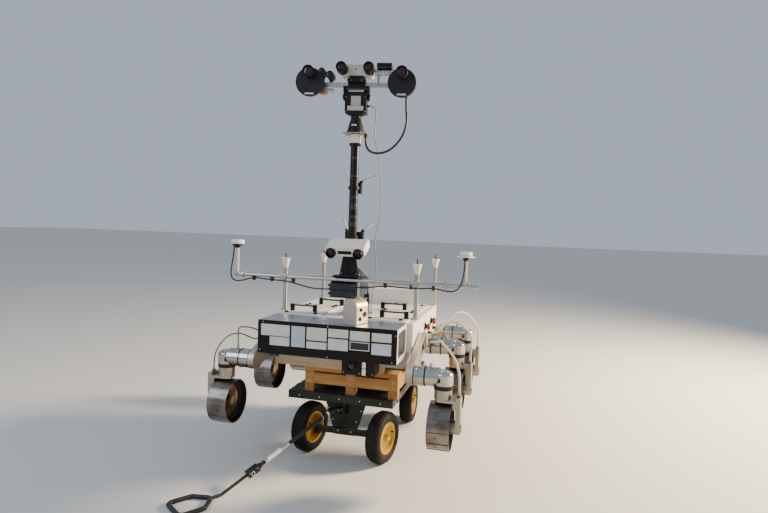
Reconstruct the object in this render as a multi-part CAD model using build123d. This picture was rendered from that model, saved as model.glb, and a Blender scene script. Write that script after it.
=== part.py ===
"""Six-wheeled planetary rover prototype, carried on a pallet and a four-wheeled pull cart.

Millimetres. +X is the rover's left-hand side as it faces -Y, +Z is up. The sections below are written
about the middle of the rover's front panel on the ground, and the last section moves everything so that
the origin is the middle of the footprint at floor level."""

from math import atan2, cos, degrees, hypot, radians, sin, tan
import os

from build123d import *

os.makedirs("parts", exist_ok=True)

# Rover body
PANEL_WIDTH = 764
PANEL_THICK = 6
SHELF_DEPTH = 232
SHELF_HEIGHT = 178
SHEET = 5
HULL_WIDTH = 832
HULL_LENGTH = 805
HULL_HEIGHT = 160
TUB_WIDTH = 760
TUB_HEIGHT = 97
LID_THICK = 6

# Cart, pallet and timbers that the rover stands on
CART_X = 4
TYRE_DIAMETER = 296
TYRE_WIDTH = 88
RIM_DIAMETER = 172
CART_TRACK = 462
CART_FRONT_AXLE_Y = 383
CART_WHEELBASE = 720
DECK_HEIGHT = 400
DECK_WIDTH = 620
DECK_FRONT_Y = 250
DECK_LENGTH = 1000
RAIL = 40
PALLET_X = 60
PALLET_WIDTH = 548
PALLET_LENGTH = 720
PALLET_FRONT_Y = 268
PALLET_HEIGHT = 145
TIMBER_HEIGHT = 40
TIMBER_LENGTH = 650

# Rover running gear
WHEEL_DIAMETER = 245
WHEEL_WIDTH = 113
WHEEL_X = 605
STEER_X = 611
FRONT_WHEEL_Y = 87
MIDDLE_WHEEL_Y = 630
WHEELBASE = 1087
UNIT_ROWS = (
    # name, y of the wheel, how far its centre hangs below the shelf's top
    ("front", FRONT_WHEEL_Y, 486),
    ("middle", MIDDLE_WHEEL_Y, 438),
    ("rear", FRONT_WHEEL_Y + WHEELBASE, 456),
)
SIDES = (("left", 1), ("right", -1))
BOGIE_INNER_X = 424
BOGIE_THICK = 34
BOGIE_PIVOT_Y = 400
BOGIE_PIVOT_DROP = 117
REAR_PIVOT_DROP = 202

# Mast and head
MAST_X = 0
MAST_Y = 410
MAST_RADIUS = 25
MAST_HEIGHT = 986
TILT_RISE = 120
HEAD_TURN = 9
DISC_SPACING = 526
CAMERA_BASE = 155

# Antenna frame
POST_X = 399
POST_FRONT_Y = 376
POST_REAR_Y = 1024
POST_RADIUS = 13
POST_HEIGHT = 262
BAR_Y = 350
BAR_RISE = 204
BAR_RADIUS = 12.5

# Running clearances
PIN_GAP = 0.08
FACE_GAP = 0.5
SEAT_GAP = 0.15

shelf_top = DECK_HEIGHT + PALLET_HEIGHT + TIMBER_HEIGHT + TUB_HEIGHT + HULL_HEIGHT
hull_bottom = shelf_top - HULL_HEIGHT
tub_bottom = hull_bottom - TUB_HEIGHT
hull_front = SHELF_DEPTH
hull_rear = SHELF_DEPTH + HULL_LENGTH
hull_side = HULL_WIDTH / 2
lid_top = shelf_top + LID_THICK
bar_z = shelf_top + BAR_RISE
post_top = shelf_top + POST_HEIGHT
mast_top = shelf_top + MAST_HEIGHT
parts = {}


def block(x, y, z):
    """A box between pairs of limits along X, Y and Z."""
    size = [limits[1] - limits[0] for limits in (x, y, z)]
    middle = [(limits[1] + limits[0]) / 2 for limits in (x, y, z)]
    return Pos(*middle) * Box(*size)


def bar(start, end, radius):
    """A round bar between two points."""
    run = Vector(*end) - Vector(*start)
    frame = Plane(origin=start, z_dir=run)
    return frame * Cylinder(radius, run.length, align=(Align.CENTER, Align.CENTER, Align.MIN))


def disc(x, y, z, radius, height):
    """An upright cylinder that stands on z."""
    return Pos(x, y, z) * Cylinder(radius, height, align=(Align.CENTER, Align.CENTER, Align.MIN))


def plate_yz(sketch, x0, x1):
    """A sketch drawn in (y, z), as a plate from x0 to x1."""
    frame = Plane(origin=(x0, 0, 0), x_dir=(0, 1, 0), z_dir=(1, 0, 0))
    return extrude(frame * sketch, x1 - x0)


def plate_xz(sketch, y0, y1):
    """A sketch drawn in (x, z), as a plate from y0 to y1."""
    frame = Plane(origin=(0, y1, 0), x_dir=(1, 0, 0), z_dir=(0, -1, 0))
    return extrude(frame * sketch, y1 - y0)


def outline(*points):
    return make_face(Polyline(*points, close=True))


def mirrored(shape):
    """The same shape on the other side of the rover."""
    return mirror(shape, about=Plane.YZ)


def spin_x(sketch, x):
    """A section drawn as (distance along X, radius), turned about a wheel's axle at x."""
    return Pos(x, 0, 0) * revolve(sketch, Axis.X)


def cord(name, points, radius):
    """A hose along straight runs and arcs, each arc as large as its two runs allow."""
    path = [Vector(*point) for point in points]
    radii = []
    for before, corner, after in zip(path, path[1:], path[2:]):
        turn = (corner - before).get_angle(after - corner)
        shorter = min((corner - before).length, (after - corner).length)
        radii.append(0.45 * shorter / tan(radians(turn) / 2))
    line = FilletPolyline(*path, radius=radii)
    print(name, "length", round(line.length), "smallest arc", round(min(radii), 1), "diameter", 2 * radius)
    return sweep(Plane(origin=line @ 0, z_dir=line % 0) * Circle(radius), path=line)


# Hull: a closed electronics box, with the deeper tub below it that stands on the timbers
hull = block((-hull_side, hull_side), (hull_front, hull_rear), (hull_bottom, shelf_top))
hull = fillet(hull.edges().filter_by(Axis.Z), 10)
parts["hull_box"] = hull
tub = block((-TUB_WIDTH / 2, TUB_WIDTH / 2), (hull_front + 18, hull_rear - 37), (tub_bottom, hull_bottom))
parts["belly_tub"] = chamfer(tub.edges().filter_by(Axis.Y).group_by(Axis.Z)[0], 20)

# Front shelf: a bent sheet box with an open window at each end, closed by the black panel
shelf_bottom = shelf_top - SHELF_HEIGHT
half_panel = PANEL_WIDTH / 2
shelf = block((-half_panel, half_panel), (PANEL_THICK, SHELF_DEPTH), (shelf_bottom, shelf_top))
shelf -= block(
    (-half_panel + SHEET, half_panel - SHEET),
    (PANEL_THICK - 1, SHELF_DEPTH + 1),
    (shelf_bottom + SHEET, shelf_top - SHEET),
)
window_y = (PANEL_THICK + 20, SHELF_DEPTH - 24)
window_z = (shelf_bottom + 24, shelf_top - 22)
window = block((-half_panel - 1, half_panel + 1), window_y, window_z)
shelf -= fillet(window.edges().filter_by(Axis.X), 22)
parts["front_shelf"] = shelf
panel = block((-half_panel, half_panel), (0, PANEL_THICK), (shelf_bottom, shelf_top))
parts["front_panel"] = fillet(panel.edges().filter_by(Axis.Y), 4)

# Deck lids, lift-off covers of folded white sheet, each with a bail handle
LIDS = (
    # x of the middle, front y, rear y
    (250, 246, 596),
    (-250, 246, 596),
    (250, 606, 930),
    (-250, 606, 930),
)
LID_WIDTH = 250
LID_CORNER = 12
BOLT_SPACING = 100
BOLT_RADIUS = 2.75
lids = []
for lid_x, lid_front, lid_rear in LIDS:
    lid = block((lid_x - LID_WIDTH / 2, lid_x + LID_WIDTH / 2), (lid_front, lid_rear), (shelf_top, lid_top))
    lids.append(fillet(lid.edges().filter_by(Axis.Z), LID_CORNER))
bolt_y = (LIDS[1][1] + LIDS[1][2]) / 2 + 40
for bolt in GridLocations(BOLT_SPACING, BOLT_SPACING, 2, 2):
    lids[1] -= Pos(LIDS[1][0], bolt_y, shelf_top) * bolt * Cylinder(BOLT_RADIUS, 4 * LID_THICK)

HANDLES = (
    # x and y of the middle
    (286, 328),
    (-262, 338),
    (205, 660),
    (-205, 660),
)
HANDLE_SPAN = 140
HANDLE_HEIGHT = 34
HANDLE_RADIUS = 5
HANDLE_LEG_RADIUS = 8.5
for index, (handle_x, handle_y) in enumerate(HANDLES):
    foot = HANDLE_SPAN / 2
    path = FilletPolyline(
        (handle_x - foot, handle_y, lid_top),
        (handle_x - foot, handle_y, lid_top + HANDLE_HEIGHT),
        (handle_x + foot, handle_y, lid_top + HANDLE_HEIGHT),
        (handle_x + foot, handle_y, lid_top),
        radius=10,
    )
    bail = sweep(Plane(origin=path @ 0, z_dir=path % 0) * Circle(HANDLE_RADIUS), path=path)
    for side in (-1, 1):
        leg = disc(handle_x + side * foot, handle_y, lid_top, HANDLE_LEG_RADIUS, HANDLE_HEIGHT)
        bail += fillet(leg.edges().group_by(Axis.Z)[-1], 4)
    lids[index] += bail

# Raised box at the rear of the deck, with a folded rim
REAR_BOX_X = (-28, 284)
REAR_BOX_Y = (942, 1028)
REAR_BOX_HEIGHT = 88
rear_box = block(REAR_BOX_X, REAR_BOX_Y, (shelf_top, shelf_top + REAR_BOX_HEIGHT))
rear_box += block(
    (REAR_BOX_X[0] - 5, REAR_BOX_X[1] + 5),
    (REAR_BOX_Y[0] - 5, REAR_BOX_Y[1] + 5),
    (shelf_top + REAR_BOX_HEIGHT, shelf_top + REAR_BOX_HEIGHT + 14),
)
parts["deck_lids"] = Compound([*lids, rear_box])

# Stop buttons on the rover's left side, and glands for the hoses, some of them on the bogie beams
STOPS = (
    # y, z, radius of the mushroom
    (603, 767, 20),
    (809, 771, 22),
)
stops = []
for stop_y, stop_z, stop_radius in STOPS:
    button = bar((hull_side, stop_y, stop_z), (hull_side + 16, stop_y, stop_z), stop_radius * 0.6)
    button += bar((hull_side + 16, stop_y, stop_z), (hull_side + 30, stop_y, stop_z), stop_radius)
    stops.append(button)
BOGIE_POCKET = 12
pocket_floor = BOGIE_INNER_X + BOGIE_THICK - BOGIE_POCKET
GLAND_LENGTH = 24
GLANDS = (
    # side of the rover, x of the face it sits on, y, z, radius
    (1, hull_side, 715, 712, 10),
    (1, hull_side, 900, 712, 10),
    (1, pocket_floor, 480, 700, 10),
    (-1, pocket_floor, 300, 688, 7),
    (-1, pocket_floor, 330, 698, 7),
)
glands = []
for side, face_x, gland_y, gland_z, gland_radius in GLANDS:
    root_x = side * face_x
    neck_x = root_x + side * GLAND_LENGTH / 2
    end_x = root_x + side * GLAND_LENGTH
    gland = bar((root_x, gland_y, gland_z), (neck_x, gland_y, gland_z), gland_radius)
    gland += bar((neck_x, gland_y, gland_z), (end_x, gland_y, gland_z), gland_radius * 0.8)
    glands.append(gland)
WIRE_GLAND = (116, 456)
WIRE_GLAND_HEIGHT = 14
glands.append(disc(*WIRE_GLAND, shelf_top, 6, WIRE_GLAND_HEIGHT))
parts["side_controls"] = Compound([*stops, *glands])

# Antenna frame: four posts, and a cross bar clamped in front of the two front ones
posts = []
cups = []
for post_x in (-POST_X, POST_X):
    for post_y in (POST_FRONT_Y, POST_REAR_Y):
        post = disc(post_x, post_y, shelf_top + 4, POST_RADIUS, post_top - shelf_top - 4)
        post += block((post_x - 16, post_x + 16), (post_y - 22, post_y + 12), (shelf_top, shelf_top + 4))
        posts.append(post)
        cup = Pos(post_x, post_y, post_top) * Cone(15, 26, 44, align=(Align.CENTER, Align.CENTER, Align.MIN))
        cup += disc(post_x, post_y, post_top + 44, 26, 6)
        cup -= Pos(post_x, post_y, post_top + 12) * Cone(
            14, 23, 39, align=(Align.CENTER, Align.CENTER, Align.MIN)
        )
        cup += disc(post_x, post_y, post_top + 10, 3, 62)
        cup += Pos(post_x, post_y, post_top + 74) * Sphere(6)
        cups.append(cup)
parts["antenna_posts"] = Compound(posts)

BAR_LEFT_X = 747
BAR_RIGHT_X = -706
BAR_COLLARS = (-662, 568)
UPRIGHT_LEFT_X = 671
UPRIGHT_RADIUS = 11
UPRIGHT_LEFT_RISE = 161
UPRIGHT_RIGHT_RISE = 176
BAR_BORE_RADIUS = 10
BAR_BORE_DEPTH = 40
cross_bar = bar((BAR_RIGHT_X, BAR_Y, bar_z), (BAR_LEFT_X, BAR_Y, bar_z), BAR_RADIUS)
cross_bar += Pos(BAR_RIGHT_X, BAR_Y, bar_z) * Sphere(BAR_RADIUS + 2)
for collar_x in BAR_COLLARS:
    cross_bar += bar((collar_x - 8, BAR_Y, bar_z), (collar_x + 8, BAR_Y, bar_z), BAR_RADIUS + 9)
for post_x in (-POST_X, POST_X):
    clamp = block(
        (post_x - 20, post_x + 20),
        (BAR_Y - BAR_RADIUS - 6, POST_FRONT_Y + POST_RADIUS + 6),
        (bar_z - 17, bar_z + 17),
    )
    clamp = fillet(clamp.edges().filter_by(Axis.X), 8)
    cross_bar += clamp - disc(post_x, POST_FRONT_Y, bar_z - 20, POST_RADIUS + SEAT_GAP, 40)
cross_bar -= bar((BAR_LEFT_X - BAR_BORE_DEPTH, BAR_Y, bar_z), (BAR_LEFT_X + 1, BAR_Y, bar_z), BAR_BORE_RADIUS)
parts["antenna_bar"] = cross_bar

# Two positioning antennas on uprights that are saddled onto the bar, the left one with a gusset
ANTENNAS = (
    # x, rise of the base above the bar, radius of the base, radius and height of the dome
    (BAR_RIGHT_X, UPRIGHT_RIGHT_RISE, 24, 41, 26),
    (UPRIGHT_LEFT_X, UPRIGHT_LEFT_RISE, 50, 35, 25),
)
ANTENNA_BASE_THICK = 5
GUSSET_REACH = 34
GUSSET_HEIGHT = 58
pucks = []
for puck_x, puck_rise, base_radius, puck_radius, puck_height in ANTENNAS:
    puck_z = bar_z + puck_rise
    puck = disc(puck_x, BAR_Y, puck_z, base_radius, ANTENNA_BASE_THICK)
    dome = disc(puck_x, BAR_Y, puck_z + ANTENNA_BASE_THICK, puck_radius, puck_height)
    puck += fillet(dome.edges().group_by(Axis.Z)[-1], 9)
    puck += disc(puck_x, BAR_Y, bar_z, UPRIGHT_RADIUS, puck_rise)
    if puck_x == UPRIGHT_LEFT_X:
        gusset = outline(
            (puck_x - GUSSET_REACH, bar_z), (puck_x + GUSSET_REACH, bar_z), (puck_x, bar_z + GUSSET_HEIGHT)
        )
        puck += plate_xz(gusset, BAR_Y - 2, BAR_Y + 2)
    puck -= Pos(BAR_RIGHT_X, BAR_Y, bar_z) * Sphere(BAR_RADIUS + 2 + SEAT_GAP)
    puck -= bar((BAR_RIGHT_X, BAR_Y, bar_z), (BAR_LEFT_X, BAR_Y, bar_z), BAR_RADIUS + SEAT_GAP)
    pucks.append(puck)
parts["top_antennas"] = Compound([*cups, *pucks])

# Instruments on and under the shelf
ARCH_WIDTH = 92
ARCH_HEIGHT = 131
ARCH_DEPTH = 96
ARCH_CORNER = 42
ARCH_TURN = -24
arch = outline((0, 0), (ARCH_WIDTH, 0), (ARCH_WIDTH, ARCH_HEIGHT), (0, ARCH_HEIGHT))
arch = fillet(arch.vertices().group_by(Axis.Y)[-1], ARCH_CORNER)
arch = plate_xz(arch, 0, ARCH_DEPTH)
parts["arch_instrument"] = Pos(66, 82, shelf_top) * Rot(0, 0, ARCH_TURN) * arch
NOSE_Z = (tub_bottom - 33, tub_bottom + 55)
nose_lens_z = tub_bottom + 15
nose = block((45, 230), (150, hull_front + 18), NOSE_Z)
nose = fillet(nose.edges().filter_by(Axis.Y), 8)
nose += bar((100, 150, nose_lens_z), (100, 128, nose_lens_z), 24)
nose -= bar((100, 140, nose_lens_z), (100, 120, nose_lens_z), 19)
nose += disc(172, 142, NOSE_Z[0] + 4, 12, NOSE_Z[1] - NOSE_Z[0] - 8)
parts["nose_instrument"] = nose

# Mast: socket on the deck, black tube, collar and plate at its top
SOCKET_RADIUS = 31
base = block((MAST_X - 55, MAST_X + 55), (MAST_Y - 55, MAST_Y + 55), (shelf_top, shelf_top + 8))
base += disc(MAST_X, MAST_Y, shelf_top + 8, SOCKET_RADIUS, 90)
rib = outline((SOCKET_RADIUS - 4, 0), (52, 0), (SOCKET_RADIUS - 4, 70))
for quarter in range(4):
    turned = Rot(0, 0, 45 + 90 * quarter) * plate_xz(rib, -3, 3)
    base += Pos(MAST_X, MAST_Y, shelf_top + 8) * turned
base -= disc(MAST_X, MAST_Y, shelf_top + 8, MAST_RADIUS + SEAT_GAP, 100)
mast = disc(MAST_X, MAST_Y, shelf_top + 8, MAST_RADIUS, mast_top - shelf_top - 8)
mast -= disc(MAST_X, MAST_Y, shelf_top, MAST_RADIUS - 3, mast_top - shelf_top + 10)
parts["mast_tube"] = mast
PLATE_Z = mast_top + 60
collar = disc(MAST_X, MAST_Y, mast_top, 32, 60)
collar += block((MAST_X - 66, MAST_X + 78), (MAST_Y - 52, MAST_Y + 52), (PLATE_Z, PLATE_Z + 4))
CABLE_GLAND_X = MAST_X + 62
CABLE_GLAND_HEIGHT = 20
collar += disc(CABLE_GLAND_X, MAST_Y, PLATE_Z - CABLE_GLAND_HEIGHT, 10, CABLE_GLAND_HEIGHT)

# Profile column beside the mast, with two braces to a clamp on the tube
COLUMN_X = (MAST_X + 62, MAST_X + 112)
COLUMN_HEIGHT = 220
column_top = shelf_top + COLUMN_HEIGHT
column = block(COLUMN_X, (MAST_Y - 25, MAST_Y + 25), (shelf_top, column_top))
groove_x = (COLUMN_X[0] + 20, COLUMN_X[1] - 20)
for groove_y in (MAST_Y - 25, MAST_Y + 25):
    column -= block(groove_x, (groove_y - 5, groove_y + 5), (shelf_top + 10, column_top + 1))
column += bar((COLUMN_X[0] + 12, MAST_Y, column_top - 4), (MAST_X + 31, MAST_Y, column_top + 52), 6)
column += bar((COLUMN_X[1] - 12, MAST_Y, column_top - 4), (MAST_X + 34, MAST_Y, column_top + 60), 6)
column += disc(MAST_X, MAST_Y, column_top + 44, MAST_RADIUS + 9, 20)
column -= disc(MAST_X, MAST_Y, column_top + 40, MAST_RADIUS + SEAT_GAP, 30)
parts["mast_base"] = Compound([base, column])

# Bracket that holds the navigation camera and the black computer in front of the mast
BRACKET_HEIGHT = 128
bracket_z = column_top + 6
bracket = plate_xz(
    outline(
        (-58, bracket_z), (58, bracket_z), (36, bracket_z + BRACKET_HEIGHT), (-36, bracket_z + BRACKET_HEIGHT)
    ),
    MAST_Y - 46,
    MAST_Y - 34,
)
bracket += block((-82, 80), (BAR_Y - 30, MAST_Y - 34), (bracket_z - 4, bracket_z + 4))
for ring_z in (bracket_z + 4, bracket_z + 102):
    bracket += disc(MAST_X, MAST_Y, ring_z, MAST_RADIUS + 8, 24)
    bracket += block((-20, 20), (MAST_Y - 36, MAST_Y - 24), (ring_z, ring_z + 24))
bracket -= disc(MAST_X, MAST_Y, bracket_z - 10, MAST_RADIUS + SEAT_GAP, 200)
COMPUTER_X = (-106, 52)
computer_z = (bar_z - 104, bracket_z - 6)
computer = block(COMPUTER_X, (MAST_Y - 72, MAST_Y - 27), computer_z)
computer = fillet(computer.edges().filter_by(Axis.Z), 6)
bar_room = (BAR_Y - 40, BAR_Y + BAR_RADIUS + 2)
computer -= block((COMPUTER_X[0] - 1, COMPUTER_X[1] + 1), bar_room, (bar_z - BAR_RADIUS - 7, bracket_z))
computer += disc(MAST_X, MAST_Y, computer_z[0] + 28, MAST_RADIUS + 8, 24)
computer -= disc(MAST_X, MAST_Y, computer_z[0] - 10, MAST_RADIUS + SEAT_GAP, 160)
TERMINAL_X = (96, 124)
TERMINAL_DEPTH = 22
terminal_y = (MAST_Y - 25 - 0.2 - TERMINAL_DEPTH, MAST_Y - 25 - 0.2)
terminal = block(TERMINAL_X, terminal_y, (shelf_top, shelf_top + 125))
terminal = fillet(terminal.edges().filter_by(Axis.Z), 3)
parts["mast_bracket"] = Compound([bracket, computer, terminal])

# Navigation camera, a white box that looks down at the ground
NAV_TILT = 30
NAV_Y = 322
nav_z = bracket_z + 166
nav = block((-117, 117), (-55, 55), (-25, 25))
nav = fillet(nav.edges().filter_by(Axis.Y), 7)
for lens_x in (-80, 80):
    nav += bar((lens_x, -54, -2), (lens_x, -76, -2), 27)
    nav -= bar((lens_x, -66, -2), (lens_x, -80, -2), 23)
nav += block((-30, 30), (-20, 48), (-38, -24))
nav = Pos(MAST_X, NAV_Y, nav_z) * Rot(NAV_TILT, 0, 0) * nav
nav += disc(MAST_X, MAST_Y, nav_z - 12, MAST_RADIUS + 9, 26)
nav += block((-18, 18), (MAST_Y - 50, MAST_Y - 28), (nav_z - 12, nav_z + 14))
parts["nav_camera"] = nav - disc(MAST_X, MAST_Y, nav_z - 20, MAST_RADIUS + SEAT_GAP, 60)

# Radio boxes strapped behind the mast, each with two rod antennas
RADIO_HEIGHT = 62
ROD_RADIUS = 6.5
RADIOS = (
    # z of the box, half width of the box, then x and rise of each rod's end
    (mast_top - 280, 34, ((-74, 132), (124, 108))),
    (nav_z + 28, 54, ((-70, 136), (106, 118))),
)
radios = []
for radio_z, radio_half, ends in RADIOS:
    box = block((-radio_half, radio_half), (MAST_Y + 27, MAST_Y + 58), (radio_z, radio_z + RADIO_HEIGHT))
    box += disc(MAST_X, MAST_Y, radio_z + 20, MAST_RADIUS + 7, 20)
    box -= disc(MAST_X, MAST_Y, radio_z, MAST_RADIUS + SEAT_GAP, RADIO_HEIGHT)
    for end_x, end_rise in ends:
        side = 1 if end_x > 0 else -1
        foot = Vector(side * (radio_half - 8), MAST_Y + 42, radio_z + RADIO_HEIGHT)
        box += bar(foot + Vector(side * 3, 0, 5), (end_x, MAST_Y + 42, radio_z + end_rise), ROD_RADIUS)
        box += disc(foot.X, foot.Y, foot.Z, ROD_RADIUS + 1.5, 8)
    radios.append(box)
parts["mast_radios"] = Compound(radios)

# Pan head: a fixed black cone, the panning box with its round top, and the tilting bracket and camera bar
CONE_Z = PLATE_Z + 4
CONE_HEIGHT = 88
CONE_TOP = CONE_Z + CONE_HEIGHT
TILT_Z = CONE_TOP + TILT_RISE
cone = Pos(MAST_X, MAST_Y, CONE_Z) * Cone(53, 29, CONE_HEIGHT, align=(Align.CENTER, Align.CENTER, Align.MIN))
cone += disc(MAST_X, MAST_Y, CONE_Z, 56, 6)
cone += disc(MAST_X, MAST_Y, CONE_TOP, 12, 40)
parts["pan_base"] = collar + cone


def head_turned(shape):
    """The shape swung round the mast with the head, which looks a little to the rover's left."""
    return Pos(MAST_X, MAST_Y, 0) * Rot(0, 0, HEAD_TURN) * Pos(-MAST_X, -MAST_Y, 0) * shape


BOX_WIDTH = 122
BOX_RADIUS = 42
NECK_HEIGHT = 24
pan_bottom = CONE_TOP + FACE_GAP
pan = block(
    (MAST_X - BOX_WIDTH / 2, MAST_X + BOX_WIDTH / 2),
    (MAST_Y - BOX_RADIUS, MAST_Y + BOX_RADIUS),
    (pan_bottom + NECK_HEIGHT, TILT_Z),
)
pan += bar(
    (MAST_X - BOX_WIDTH / 2, MAST_Y, TILT_Z), (MAST_X + BOX_WIDTH / 2, MAST_Y, TILT_Z), BOX_RADIUS
)
neck_top = Pos(0, 0, NECK_HEIGHT - 6) * RectangleRounded(BOX_WIDTH - 2, 2 * BOX_RADIUS - 2, 8)
neck = Pos(MAST_X, MAST_Y, pan_bottom + 8) * loft(Sketch() + [Circle(30), neck_top])
pan += neck + disc(MAST_X, MAST_Y, pan_bottom, 30, 10)
pan -= disc(MAST_X, MAST_Y, pan_bottom - 1, 12 + PIN_GAP, 42)
AXLE_RADIUS = 12
AXLE_LENGTH = 10
pan += bar(
    (MAST_X - BOX_WIDTH / 2 - AXLE_LENGTH, MAST_Y, TILT_Z),
    (MAST_X + BOX_WIDTH / 2 + AXLE_LENGTH, MAST_Y, TILT_Z),
    AXLE_RADIUS,
)
WIRE_START_Z = TILT_Z - 48
WIRE_START_X = MAST_X + BOX_WIDTH / 2 + 14
wire_y = MAST_Y + 10
pan += bar((MAST_X + BOX_WIDTH / 2, wire_y, WIRE_START_Z), (WIRE_START_X, wire_y, WIRE_START_Z), 6)
parts["pan_head"] = head_turned(pan)

ARM_INNER = BOX_WIDTH / 2 + 5
ARM_THICK = 8
TILT_PLATE_Z = TILT_Z + BOX_RADIUS + 6
BEAM_Z = TILT_PLATE_Z + 8 + 12
BEAM_HALF = 196
STEREO_RISE = 46
arm = Pos(0, 0) * Circle(22) + outline(
    (-22, 0), (22, 0), (38, TILT_PLATE_Z - TILT_Z + 6), (-38, TILT_PLATE_Z - TILT_Z + 6)
)
tilt = block(
    (MAST_X - ARM_INNER - ARM_THICK, MAST_X + ARM_INNER + ARM_THICK),
    (MAST_Y - 38, MAST_Y + 38),
    (TILT_PLATE_Z, TILT_PLATE_Z + 8),
)
for side in (-1, 1):
    inner = MAST_X + side * ARM_INNER
    outer = inner + side * ARM_THICK
    tilt += Pos(0, MAST_Y, TILT_Z) * plate_yz(arm, min(inner, outer), max(inner, outer))
    tilt += bar((outer, MAST_Y, TILT_Z), (outer + side * 4, MAST_Y, TILT_Z), 17)
tilt -= bar(
    (MAST_X - ARM_INNER - ARM_THICK - 1, MAST_Y, TILT_Z),
    (MAST_X + ARM_INNER + ARM_THICK + 1, MAST_Y, TILT_Z),
    AXLE_RADIUS + PIN_GAP,
)
tilt += block((MAST_X - 52, MAST_X + 52), (MAST_Y - 34, MAST_Y + 34), (BEAM_Z + 12, BEAM_Z + 32))
tilt += block((MAST_X - 40, MAST_X + 40), (MAST_Y - 30, MAST_Y + 30), (BEAM_Z + 31, BEAM_Z + STEREO_RISE))
tilt += block((MAST_X - 50, MAST_X + 50), (MAST_Y - 16, MAST_Y + 16), (TILT_PLATE_Z + 7, BEAM_Z + 14))
tilt -= block((MAST_X - 60, MAST_X + 60), (MAST_Y - 12, MAST_Y + 12), (BEAM_Z - 12, BEAM_Z + 12))
parts["tilt_bracket"] = head_turned(tilt)
beam = block((MAST_X - BEAM_HALF, MAST_X + BEAM_HALF), (MAST_Y - 12, MAST_Y + 12), (BEAM_Z - 12, BEAM_Z + 12))
beam -= block(
    (MAST_X - BEAM_HALF - 1, MAST_X + BEAM_HALF + 1), (MAST_Y - 9, MAST_Y + 9), (BEAM_Z - 9, BEAM_Z + 9)
)

# Filter wheels: dark discs at the ends of the beam, each with a camera behind and a lens in front
DISC_RADIUS = 80
DISC_FRONT = MAST_Y - 74
DISC_THICK = 26
LENS_RISE = 49
CAMERA_BOX_TOP = 78
HEAD_CABLE_X = MAST_X + DISC_SPACING / 2 + 24
drums = []
barrels = []
for side in (-1, 1):
    disc_x = MAST_X + side * DISC_SPACING / 2
    drum = bar((disc_x, DISC_FRONT, BEAM_Z), (disc_x, DISC_FRONT + DISC_THICK, BEAM_Z), DISC_RADIUS)
    drum += block(
        (disc_x - 34, disc_x + 34),
        (DISC_FRONT + DISC_THICK, MAST_Y + 46),
        (BEAM_Z - 30, BEAM_Z + CAMERA_BOX_TOP),
    )
    stub = (MAST_X + side * BEAM_HALF, disc_x - side * 34)
    drum += block((min(stub), max(stub)), (MAST_Y - 11, MAST_Y + 11), (BEAM_Z - 11, BEAM_Z + 11))
    if side > 0:
        drum += disc(HEAD_CABLE_X, MAST_Y, TILT_Z, 9, BEAM_Z - 30 - TILT_Z)
    drums.append(drum)
    lens_z = BEAM_Z + LENS_RISE
    barrel = bar((disc_x, DISC_FRONT, lens_z), (disc_x, DISC_FRONT - 46, lens_z), 33)
    barrel -= bar((disc_x, DISC_FRONT - 36, lens_z), (disc_x, DISC_FRONT - 50, lens_z), 28)
    barrels.append(barrel)
parts["filter_wheels"] = head_turned(Compound(drums))
SMALL_LENSES = (
    # x, z, radius
    (-200, 66, 20),
    (-152, 48, 21),
)
for small_x, small_rise, small_radius in SMALL_LENSES:
    small_z = BEAM_Z + small_rise
    small = bar((small_x, MAST_Y + 30, small_z), (small_x, MAST_Y - 46, small_z), small_radius)
    small += block((small_x - 9, small_x + 9), (MAST_Y - 9, MAST_Y + 9), (BEAM_Z + 12, small_z))
    barrels.append(small)
parts["lens_barrels"] = head_turned(Compound(barrels))

# Stereo camera on the clamp, and the housing beside it with its flat box
STEREO_HEIGHT = 58
STEREO_LENS_RADIUS = 29
stereo_z = BEAM_Z + STEREO_RISE
stereo = block((MAST_X - 92, MAST_X + 92), (MAST_Y - 50, MAST_Y + 60), (stereo_z, stereo_z + STEREO_HEIGHT))
stereo = fillet(stereo.edges().filter_by(Axis.Y), 14)
eye_z = stereo_z + STEREO_HEIGHT / 2
for side in (-1, 1):
    lens_x = MAST_X + side * CAMERA_BASE / 2
    stereo += bar((lens_x, MAST_Y - 49, eye_z), (lens_x, MAST_Y - 112, eye_z), STEREO_LENS_RADIUS)
    stereo -= bar((lens_x, MAST_Y - 100, eye_z), (lens_x, MAST_Y - 120, eye_z), STEREO_LENS_RADIUS - 5)
parts["stereo_camera"] = head_turned(stereo)
side_housing = bar((MAST_X + 106, MAST_Y, BEAM_Z + 74), (MAST_X + 212, MAST_Y, BEAM_Z + 74), 20)
for foot_x in (MAST_X + 124, MAST_X + 188):
    side_housing += block((foot_x - 6, foot_x + 6), (MAST_Y - 10, MAST_Y + 10), (BEAM_Z + 12, BEAM_Z + 62))
side_housing += block(
    (MAST_X + 116, MAST_X + 200), (MAST_Y - 34, MAST_Y + 34), (BEAM_Z + 92, BEAM_Z + 118)
)
CONNECTOR_X = (MAST_X - 212, MAST_X - 168)
socket_x = CONNECTOR_X[1]
connector = block(CONNECTOR_X, (MAST_Y - 30, MAST_Y + 8), (BEAM_Z - 56, BEAM_Z - 18))
connector += bar((socket_x, MAST_Y - 10, BEAM_Z - 36), (socket_x + 34, MAST_Y - 10, BEAM_Z - 36), 13)
connector += block((socket_x - 26, socket_x - 4), (MAST_Y - 6, MAST_Y + 8), (BEAM_Z - 19, BEAM_Z - 11))
parts["camera_beam"] = head_turned(beam + side_housing + connector)

# Side bogies: a rocking beam on each side that carries the front and middle wheel units
boss_radius = 55
unit_z = {name: shelf_top - drop for name, y, drop in UNIT_ROWS}
unit_y = {name: y for name, y, drop in UNIT_ROWS}
DRIVE_RISE = 248
ARM_ROOT = 44
bogie_outer_x = BOGIE_INNER_X + BOGIE_THICK


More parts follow.
